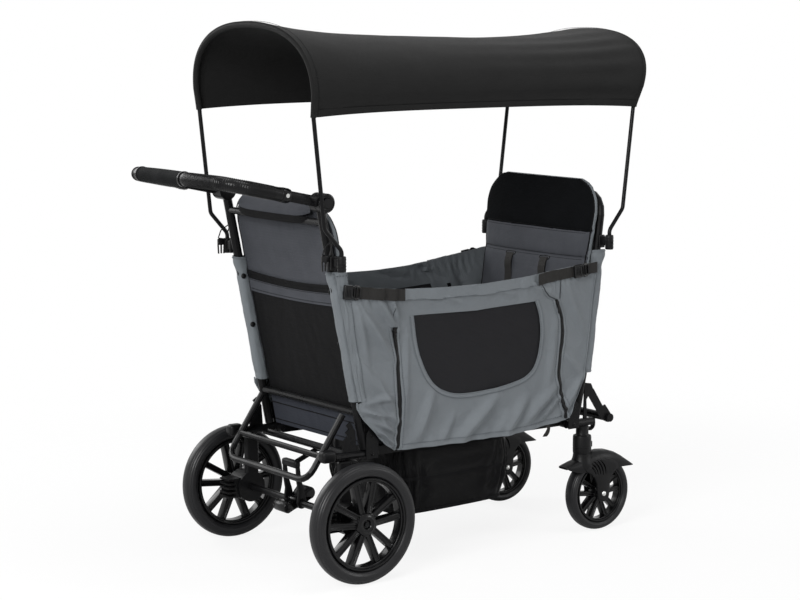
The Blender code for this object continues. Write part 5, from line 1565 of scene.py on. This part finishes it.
def canopyPoint(u, v, rise=0.0):
    # u runs from hem to hem over the arch, v from the rear bow to the front bow
    slack = 1 - abs(2 * v - 1) ** 3.4
    lift = canopy["lift"] + rise
    rear, front, drop = canopy["rear"], canopy["front"], canopy["drop"]
    apex = rear["apex"] + (front["apex"] - rear["apex"]) * v - 0.03 * slack + lift
    half = canopy["rodY"] + 0.009 - 0.006 * slack + lift
    hemHalf = canopy["rodY"] - 0.004 * slack + lift
    hem = canopy["hem"] - 0.006 + 0.01 * slack
    side = min(u, 1 - u) / drop
    if side < 1:
        z = hem + (canopy["spring"] - hem) * side
        y = math.copysign(hemHalf + (half - hemHalf) * side, 0.5 - u)
    else:
        y, z = archPoint(math.pi * (u - drop) / (1 - 2 * drop), half, apex)
    share = max(0.0, (z - canopy["hem"]) / (apex - canopy["hem"]))
    rearX = rear["hem"] + (rear["apexX"] - rear["hem"]) * share - 0.004
    frontX = front["hem"] + (front["apexX"] - front["hem"]) * share + 0.004
    return at(rearX + (frontX - rearX) * v, y, z)


def makeCanopy():
    def rise(u, v):
        # long shallow tension folds that fan out from the front bow, soft waves elsewhere
        side = min(u, 1 - u)
        fan = max(0.0, v - 0.35) / 0.65
        way = side * 74 + 3.0 * (1 - v) ** 2 + 1.4 * noise.noise((v * 2, side * 4, 1))
        folds = 0.0021 * fan**1.3 * math.sin(way)
        corner = 0.0022 * bell(side, 0.1) * math.sin(v * 30) * bell(v, 0.12)
        wave = 0.0016 * noise.noise((v * 3.2, u * 5.0, 2.0)) + 0.0005 * noise.noise((v * 12, u * 14, 7.0))
        return 0.003 + (folds + corner + wave) * min(1.0, 12 * v, 12 * (1 - v))

    def foldCloth(obj):
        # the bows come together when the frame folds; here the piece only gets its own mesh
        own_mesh(obj)

    sheet = clothGrid("canopy_sheet", 120, 150, lambda u, v: canopyPoint(u, v, rise(u, v)))
    outward(sheet, (0, 0, 1))
    # the back of the sheet takes the near-black lining: painted shade under the canopy
    thickened(sheet, 0.0012, canopyShadedLining)
    finishPiece(sheet, [canopyCanvas, canopyShadedLining], "rear_bow", ["canopy_cloth"], 70)
    foldCloth(sheet)

    bands = []
    for end, foot, head in ((0, 0.0, 0.032), (1, 1.0, 0.968)):
        along = spread(0.012, 0.988, 120)
        pairs = [(canopyPoint(foot, v, 0.0038), canopyPoint(head, v, 0.0038)) for v in along]
        centres = [(low + high) / 2 for low, high in pairs]
        halves = [(high - low) / 2 for low, high in pairs]
        bands.append(strapBand(f"hemBand{end}", centres, halves, 0.0014, 0.0004))
    hems = joinAll(bands, "canopy_hems")
    finishPiece(hems, canopyCanvas, "rear_bow", angle=60)
    foldCloth(hems)
    rows = []
    for u, way in ((0.0355, 1), (0.9645, -1)):
        line = [canopyPoint(u, v, 0.0034) for v in spread(0.015, 0.985, 140)]
        rows.append(stitchRow(f"hemRow{u}", line, (0, way, 0)))
    threads = joinAll(rows, "canopy_stitches")
    finishPiece(threads, blackThread, "rear_bow", angle=60)
    foldCloth(threads)

    for tag, v, way, lift in (("rear", 0.0, 1, 0.0034), ("front", 1.0, -1, 0.0044)):
        # the casing hugs the rod from hem to hem
        route = [canopyPoint(u, v, -canopy["lift"]) + Vector((way * 0.004, 0, 0)) for u in spread(0, 1, 120)]
        finishPiece(bentTube(tag + "_casing", route, 0.0072, 14), canopyCanvas, tag + "_bow", angle=60)
        line = [canopyPoint(i / 120, v, lift) + Vector((way * 0.0125, 0, 0)) for i in range(4, 117)]
        outOf = lambda p: Vector((0, p.y, max(0.0, p.z - canopy["seamZ"]) * 2)).normalized()
        finishPiece(stitchRow(tag + "_casing_stitches", line, outOf), blackThread, tag + "_bow", angle=60)
makeCanopy()
print("canopy done")


# Storage bag

bag = {"x0": 0.192, "x1": 0.583, "half": 0.1745, "top": 0.2875, "bottom": 0.1145}


def makeBag():
    middle = (bag["x0"] + bag["x1"]) / 2
    halfX = (bag["x1"] - bag["x0"]) / 2

    def side(u, h):
        # h is 0 at the bottom edge and 1 at the rim
        turn = 2 * math.pi * u
        c, s = math.cos(turn), math.sin(turn)
        power = 2 / 6.5
        across = signedPower(c, power)
        out = signedPower(s, power)
        full = math.sin(math.pi * h)
        belly = 0.006 * full - 0.013 * (1 - h) ** 3
        pleat = 0.0034 * full * math.sin(turn * 26 + 3.5 * noise.noise((c * 3, s * 3, h * 3)))
        pleat += 0.005 * math.sin(math.pi * min(1, h * 1.1)) * noise.noise((c * 4 + 9, s * 4, h * 5))
        pleat += 0.006 * full * bell(across - 0.15, 0.14) * math.sin(across * 60)
        x = middle + across * (halfX - 0.007) + (belly + pleat) * c
        y = out * (bag["half"] - 0.005) + (belly + pleat) * s
        z = bag["bottom"] + (bag["top"] - bag["bottom"]) * h
        z += 0.0085 * (1 - h) * (across * 0.5 + 0.5) ** 2
        return x, y, z

    def place(u, v):
        if v >= 0.28:
            x, y, z = side(u, (v - 0.28) / 0.72)
            return at(x, y, z)
        share = v / 0.28
        x, y, z = side(u, 0.0)
        sag = 0.004 * math.cos(share * math.pi / 2) + 0.0015 * noise.noise((x * 20, y * 20, 4))
        return at(middle + (x - middle) * share, y * share, z + 0.002 - sag * (1 - share**4))

    shell = faceOut(outward(clothGrid("bag_shell", 260, 64, place, True), (0, 0, -1)), 0.0001)
    thickened(shell, 0.001)
    finishPiece(shell, bagNetting, "rear_frame", ["storage_bag"], 60)
    foldIn(shell, bag["x0"], 0.2)
    bands = []
    for h, half, lift in ((0.965, 0.0055, 0.0012), (0.0, 0.0042, 0.0014), (0.52, 0.0045, 0.0012)):
        centres = []
        for u in spread(0, 1, 240):
            x, y, z = side(u, h)
            centres.append(at(x, y, z) + Vector((x - middle, y * 1.2, 0)).normalized() * lift)
        bands.append(strapBand(f"bagBand{h}", centres, [Vector((0, 0, half))] * 241, 0.0014, 0.0003))
    ribs = joinAll(bands, "bag_bindings")
    finishPiece(ribs, blackCanvas, "rear_frame", angle=60)
    foldIn(ribs, bag["x0"], 0.2)


makeBag()
print("bag done")


# Handle: grip, ridged sleeve, hub rings

handle = {
    "reach": 0.27, "rise": math.radians(12), "y": 0.2355, "r": 0.0165, "start": 0.105, "bend": 0.055,
    "ridgeGap": 0.0046, "gripIn": -0.028, "gripOut": 0.172,
    "hubRing": [
        (0.0134, -0.0006), (0.0134, 0.0008), (0.0142, 0.0014), (0.016, 0.0014), (0.0168, 0.0004),
        (0.0188, 0.0004), (0.0194, 0.0016), (0.0212, 0.0016), (0.0226, 0.0006), (0.023, -0.0006),
    ],
    "eyelet": [(0.0, -0.0006), (0.0022, -0.0006), (0.0026, 0.0004), (0.0036, 0.0005), (0.004, -0.0008)],
}
armAhead = Vector((-math.cos(handle["rise"]), 0, math.sin(handle["rise"])))


def onArm(reach, y):
    return at(-0.065, y, 0.93) + armAhead * reach


def makeHandle():
    h = handle
    r, armY = h["r"], h["y"]
    ends = ((h["start"], -armY), (h["reach"], -armY), (h["reach"], armY), (h["start"], armY))
    corners = [onArm(reach, y) for reach, y in ends]
    route = resample(roundCorners(corners, h["bend"], 24), 420)
    shell = bentTube("grip_sleeve", route, r + 0.0003, 40)
    for side in (-1, 1):
        # room for the flat arm that slides inside, and for the snap button
        room = roundedBox(f"armRoom{side}", (0.116, 0.014, 0.0275), (0, 0, 0), 0.0055, 4)
        middle = onArm(h["start"] + 0.048, side * armY)
        room.data.transform(Matrix.Translation(middle) @ Matrix.Rotation(h["rise"], 4, "Y"))
        cutAway([shell], room)
        spot = onArm(h["start"] + 0.012, side * (armY + 0.014))
        cutAway([shell], rodAcross(f"snapRoom{side}", 32, 0.0056, 0.02, spot))
    faceOut(shell)

    ridges = []
    for side, inner in ((-1, 0.04), (1, 0.184)):
        # ridges from the crossbar round the bend to the collar on the arm
        line = [p for p in route if p.y * side > inner and (p - onArm(0, p.y)).length > h["start"] + 0.04]
        if side > 0:
            line.reverse()
        count = int(sum((b - a).length for a, b in zip(line, line[1:])) / h["ridgeGap"])
        spots = resample(line, count)
        for k in range(1, count - 1):
            fade = math.sin(math.pi * k / (count - 1)) ** 0.5
            ring = thinRing(f"ridge{side}{k}", 36, r, 0.0008 + 0.0006 * fade)
            ring.data.transform(Matrix.Translation(spots[k]) @ turnTo(spots[k + 1] - spots[k - 1]))
            ridges.append(ring)

    # collars: at the snap buttons, and where the matte grip begins and ends
    def collarShape(name, centre, axis, long, proud, lip, edge, steps):
        half = [(r - 0.001, long / 2), (lip, long / 2), (r + proud, long / 2 - edge)]
        return latheShape(name, centre, axis, [(a, -b) for a, b in half] + half[::-1], steps)

    collars = []
    for side in (-1, 1):
        for away, long, proud in ((0.0125, 0.0185, 0.0016), (0.0265, 0.004, 0.0009)):
            reach = h["start"] + away
            name = f"collar{side}{reach}"
            collar = collarShape(name, (0, 0, 0), "Z", long, proud, r + proud * 0.6, 0.0015, 44)
            collar.data.transform(Matrix.Translation(onArm(reach, side * armY)) @ turnTo(armAhead))
            if long > 0.01:
                spot = onArm(h["start"] + 0.012, side * (armY + 0.014))
                faceOut(collar)
                cutAway([collar], rodAcross("snapRoom", 32, 0.0056, 0.02, spot))
            collars.append(collar)
    gripIn, gripOut = h["gripIn"], h["gripOut"]
    for y, long, proud in ((gripIn, 0.007, 0.0026), (gripOut + 0.004, 0.008, 0.0028)):
        spot = onArm(h["reach"], y)
        collars.append(collarShape(f"gripCollar{y}", spot, "Y", long, proud, r + proud - 0.0008, 0.001, 48))
    sleeve = joinAll([shell, *ridges, *collars], "grip_sleeve")
    finishPiece(sleeve, gripSleeve, "handle_grip", ["handle_grip_tube"], 40)

    # matte grip: a soft sleeve with fine rings moulded in
    profile = []
    count = 60
    for i, y in enumerate(spread(gripIn + 0.004, gripOut, count)):
        swell = 0.0008 * math.sin(math.pi * i / count)
        profile.append((0.0177 + swell + (0.0003 if i % 2 else 0.0), y))
    profile = [(0.0166, profile[0][1]), *profile, (0.0166, profile[-1][1])]
    grip = latheShape("matte_grip", onArm(h["reach"], 0), "Y", profile, 64)
    finishPiece(grip, gripFoam, "handle_grip", ["handle_foam"], 60)

    # concentric rings on both hubs, holes along the flat arm
    for side, sign in sides.items():
        profile = [(a, sign * b) for a, b in h["hubRing"]]
        ring = latheShape("hub_ring_" + side, at(-0.065, sign * (armY + 0.0105), 0.93), "Y", profile, 64)
        holes = [thickened(ring, 0.0004)]
        for reach in (0.052, 0.076):
            profile = [(a, sign * b) for a, b in h["eyelet"]]
            spot = onArm(reach, sign * (armY + 0.0065))
            holes.append(latheShape(f"eyelet{side}{reach}", spot, "Y", profile, 28))
        finishPiece(joinAll(holes, "hub_ring_" + side), glossAbs, "handle_arms", angle=40)
makeHandle()
print("handle done")


# Small fittings


def makeBows():
    # bent rods with the clips that hold their feet
    for tag, postX in (("rear", rearPostX(0.785)), ("front", frontPostX(0.785))):
        bow, rodY = canopy[tag], canopy["rodY"]
        foot = at(bow["foot"], rodY, 0)
        leg = [at(bow["foot"], rodY, 0.768), at(bow["foot"], rodY, 0.815), at(bow["out"], rodY, 0.87)]
        leg = roundCorners([*leg, at(bow["hem"], rodY, canopy["hem"])], 0.022, 8)
        route = list(leg)
        for i in range(65):
            y, z = archPoint(math.pi * i / 64, rodY + 0.009, bow["apex"])
            share = (z - canopy["hem"]) / (bow["apex"] - canopy["hem"])
            route.append(at(bow["hem"] + (bow["apexX"] - bow["hem"]) * share, y, z))
        route += [Vector((p.x, -p.y, p.z)) for p in reversed(leg)]
        rod = bentTube(tag + "_rod", route, 0.0053, 14)
        finishPiece(rod, powderCoat, tag + "_bow", [tag + "_bow"], 50)
        profile = [(0.0058, 0.7635), (0.01, 0.764), (0.0108, 0.7655), (0.0108, 0.799), (0.01, 0.8015)]
        socket = latheShape(tag + "Socket", foot, "Z", [*profile, (0.006, 0.8025)], 40)
        useModifier(socket, "SOLIDIFY", thickness=0.0009, offset=-1)
        spot = at(bow["foot"], rodY - 0.0205, 0.785)
        neck = roundedBox(tag + "Neck", (0.013, 0.024, 0.024), spot, 0.0035, 3)
        saddle = roundedBox(tag + "Saddle", (0.02, 0.007, 0.034), at(postX, 0.2315, 0.783), 0.0028, 3)
        ribs = []
        for i in range(4):
            spot = foot + Vector((0, 0, 0.77 + 0.008 * i))
            ribs.append(thinRing(f"{tag}Rib{i}", 32, 0.0107, 0.0011, spot))
        clip = joinAll([socket, neck, saddle, *ribs], tag + "_clip_left")
        twin = mirrored(clip, tag + "_clip_right")
        for side, piece in (("left", clip), ("right", twin)):
            cadNode = f"{tag}_canopy_clip_{side}"
            finishPiece(piece, blackNylon, tag + "_frame", [cadNode], 35)


def makeRearHooks():
    # wire loop with a loose buckle end that hangs beside each rear clip
    x, y = -0.066, 0.2395
    loop = [at(-0.04, 0.237, 0.842), at(x, 0.24, 0.826), at(-0.074, 0.24, 0.806), at(-0.052, 0.239, 0.802)]
    pieces = [
        bentTube("hook_wire", resample(loop, 40, True), 0.0016, 8, True),
        roundedBox("hookBody", (0.02, 0.008, 0.016), at(x, y, 0.796), 0.002),
        roundedBox("hookTongue", (0.0034, 0.005, 0.024), at(x, y, 0.778), 0.0012),
    ]
    for way in (-1, 1):
        spot = at(x + way * 0.0085, y, 0.778)
        pieces.append(roundedBox(f"hookProng{way}", (0.003, 0.005, 0.025), spot, 0.0012, tilt=way * 0.06))
    hook = joinAll(pieces, "rear_hook_left")
    for piece in (hook, mirrored(hook, "rear_hook_right")):
        finishPiece(piece, buckleAcetal, "rear_frame", (), 40)


def makeBrakeParts():
    beamR = (beamHigh[2] - beamLow[2]) / 2
    z = (beamHigh[2] + beamLow[2]) / 2
    ring = arcPoints((0, z), beamR + 0.0004, 0, 352.5, 47)
    outline = arcPoints((0.028, z + 0.021), 0.0165, -75, 115, 14) + arcPoints((0, z), 0.015, 95, 150, 6)
    outline += arcPoints((-0.036, z - 0.008), 0.015, 75, 285, 14) + arcPoints((0, z), 0.015, 250, 300, 6)
    pedal = flatOutline("brake_pedal_pads", [outline, ring], 0.054, 0, 0.0032)
    for vert in pedal.data.vertices:
        # narrow at the axle, wide at both treads
        reach = min(1.0, abs(vert.co.x - axleX) / 0.036)
        if abs(vert.co.y) > 0.02:
            vert.co.y *= 0.66 + 0.34 * reach**1.5
    finishPiece(pedal, glossAbs, "brake_pedal", ["brake_pedal"], 50)

    outline = arcPoints((0, z), 0.0145, -200, 20, 20)
    outline += [(0.008, z + 0.03), (-0.002, z + 0.06), (-0.0065, z + 0.094), (-0.0165, z + 0.094)]
    outline += [(-0.015, z + 0.058), (-0.01, z + 0.03)]
    legs = [flatOutline(f"clampLeg{s}", [outline, ring], 0.0075, s * 0.03, 0.0015) for s in (-1, 1)]
    bridge = roundedBox("clampBridge", (0.018, 0.066, 0.019), at(-0.012, 0, z + 0.1), 0.006, 4)
    clamp = joinAll([bridge, *legs], "axle_clamp_body")
    finishPiece(clamp, blackNylon, "rear_frame", ["axle_clamp"], 40)

    for side, sign in sides.items():
        low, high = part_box("lever_block_" + side)
        inner, outer = sorted((abs(low[1]), abs(high[1])))
        middle = at(-0.046, sign * (0.2005 + outer) / 2, 0.306)
        cap = roundedBox("endCap" + side, (0.04, outer - 0.2005, 0.03), middle, 0.0095, 5)
        spot = at(-0.046, sign * (inner + 0.21) / 2, 0.302)
        pin = rodAcross("leverPin" + side, 24, 0.004, 0.21 - inner, spot)
        end = joinAll([cap, pin], "side_tube_end_" + side)
        finishPiece(end, blackNylon, "rear_frame", ["lever_block_" + side], 40)


def makeHangingStrap():
    # loose end of webbing under the front foot of the near wall
    route = ((0.64, -0.23, 0.315), (0.643, -0.2325, 0.302), (0.637, -0.233, 0.29), (0.63, -0.2315, 0.28))
    centres = [at(*p) for p in resample(roundCorners(route, 0.01, 5), 24)]
    halves = [Vector((0.0062, 0.002 * math.sin(i / 4), 0)) for i in range(24)]
    band = strapBand("hanging_strap", centres, halves, 0.0016)
    finishPiece(band, blackWebbing, "rear_frame", (), 60)
    foldIn(band, *panelFold)
def makeFittings():
    def screw(name, place, sign, radius=0.0036):
        profile = [(0.0, 0.0019), (radius * 0.35, 0.0019), (radius * 0.42, 0.001), (radius * 0.55, 0.0018)]
        profile += [(radius * 0.85, 0.0013), (radius, 0.0002), (radius, -0.0008), (0.0, -0.0008)]
        return latheShape(name, place, "Y", [(r, sign * y) for r, y in profile], 28)

    for side, sign in sides.items():
        for tag, x, body in (("rear", -0.0335, "rear_frame"), ("front", 0.819, "front_frame")):
            head = screw(f"{tag}_clip_screw_{side}", at(x, sign * 0.2732, 0.783), sign, 0.003)
            finishPiece(head, blackNylon, body, angle=40)
        for tag, x, body in (("rear", 0.079, "rear_frame"), ("front", 0.732, "front_frame")):
            heads = [screw(f"{tag}Rivet{side}{z}", at(x, sign * 0.229, z), sign, 0.005) for z in (0.3, 0.346)]
            finishPiece(joinAll(heads, f"{tag}_bracket_rivets_{side}"), powderCoat, body, angle=40)


makeBows()
makeRearHooks()
makeBrakeParts()
makeHangingStrap()
makeFittings()
print("fittings done")


# Floor, light and camera

stage = {"floor": "#f6f6f6", "world": 0.25, "glow": 0.86}


def makeFloor():
    bpy.ops.mesh.primitive_circle_add(vertices=96, radius=4.2, fill_type="NGON", location=(0, 0, 0))
    floor = rename(bpy.context.object, "studio_floor")
    material, tree, shader = startMaterial("pale_studio_floor", 0.9)
    shader.inputs["Base Color"].default_value = fromHex(stage["floor"])
    place = addNode(tree, "TexCoord").outputs["Object"]
    reach = addNode(tree, "VectorMath", {0: place}, operation="LENGTH").outputs["Value"]
    # the floor fades out between 1.0 and 2.6 m from the middle
    span = {0: reach, 1: 1.0, 2: 2.6, 3: 1.0, 4: 0.0}
    fade = addNode(tree, "MapRange", span, interpolation_type="SMOOTHSTEP")
    # paper grain under the fade
    grain = addNode(tree, "TexNoise", {"Vector": place, "Scale": 300.0, "Detail": 2.0})
    bump = addNode(tree, "Bump", {"Height": grain.outputs[0], "Distance": 0.0001, "Strength": 0.2})
    tree.links.new(bump.outputs[0], shader.inputs["Normal"])
    # the camera sees most of it as plain white paper, so that the shadow stays pale
    path = addNode(tree, "LightPath")
    glow = addNode(tree, "Emission", {"Color": (1, 1, 1, 1), "Strength": 1.0})
    lit = addNode(tree, "Math", {0: path.outputs["Is Camera Ray"], 1: stage["glow"]}, operation="MULTIPLY")
    paper = addNode(tree, "MixShader", {0: lit.outputs[0], 1: shader.outputs[0], 2: glow.outputs[0]})
    clear = addNode(tree, "BsdfTransparent")
    mixed = addNode(tree, "MixShader", {0: fade.outputs[0], 1: clear.outputs[0], 2: paper.outputs[0]})
    tree.links.new(mixed.outputs[0], tree.nodes["Material Output"].inputs["Surface"])
    floor.data.materials.append(material)


def makeWorld():
    world = bpy.data.worlds.new("studio")
    bpy.context.scene.world = world
    world.use_nodes = True
    tree = world.node_tree
    light = tree.nodes["Background"]
    light.inputs["Color"].default_value = (1, 1, 1, 1)
    light.inputs["Strength"].default_value = stage["world"]
    # whoever looks at the backdrop, straight or in a reflection, sees plain white
    path = addNode(tree, "LightPath")
    seen = path.outputs["Is Camera Ray"]
    for ray in ("Is Glossy Ray", "Is Transmission Ray"):
        seen = addNode(tree, "Math", {0: seen, 1: path.outputs[ray]}, operation="MAXIMUM").outputs[0]
    white = addNode(tree, "Background", {"Color": (1, 1, 1, 1), "Strength": 1.0})
    mixed = addNode(tree, "MixShader", {0: seen, 1: light.outputs[0], 2: white.outputs[0]})
    tree.links.new(mixed.outputs[0], tree.nodes["World Output"].inputs["Surface"])


def softbox(name, place, target, size, power):
    lamp = bpy.data.lights.new(name, "AREA")
    lamp.shape = "RECTANGLE"
    lamp.size, lamp.size_y = size
    lamp.energy = power
    obj = bpy.data.objects.new(name, lamp)
    bpy.context.scene.collection.objects.link(obj)
    obj.location = place
    obj.rotation_euler = (Vector(target) - Vector(place)).to_track_quat("-Z", "Y").to_euler()


def makeCamera():
    lens = bpy.data.cameras.new("camera")
    lens.lens = 96.69
    lens.sensor_width = 36
    lens.clip_start = 0.1
    camera = bpy.data.objects.new("camera", lens)
    bpy.context.scene.collection.objects.link(camera)
    camera.location = (-3.234, -4.486, 1.383)
    camera.rotation_euler = (math.radians(90 - 7.64), 0, math.radians(-35.96))
    bpy.context.scene.camera = camera


makeFloor()
makeWorld()
softbox("key", (-3.8, -2.2, 2.6), (0, 0, 0.6), (1.9, 1.9), 184)
softbox("overhead", (0.4, -0.8, 4.2), (0, 0, 0.6), (1.8, 1.8), 54)
softbox("side_fill", (3.2, -3.0, 1.9), (0, 0, 0.6), (1.4, 1.6), 46)
softbox("back_fill", (-1.5, 3.8, 2.4), (0, 0, 0.7), (2.2, 2.4), 75)
makeCamera()
bpy.context.scene.view_settings.view_transform = "Standard"

print("stage done")
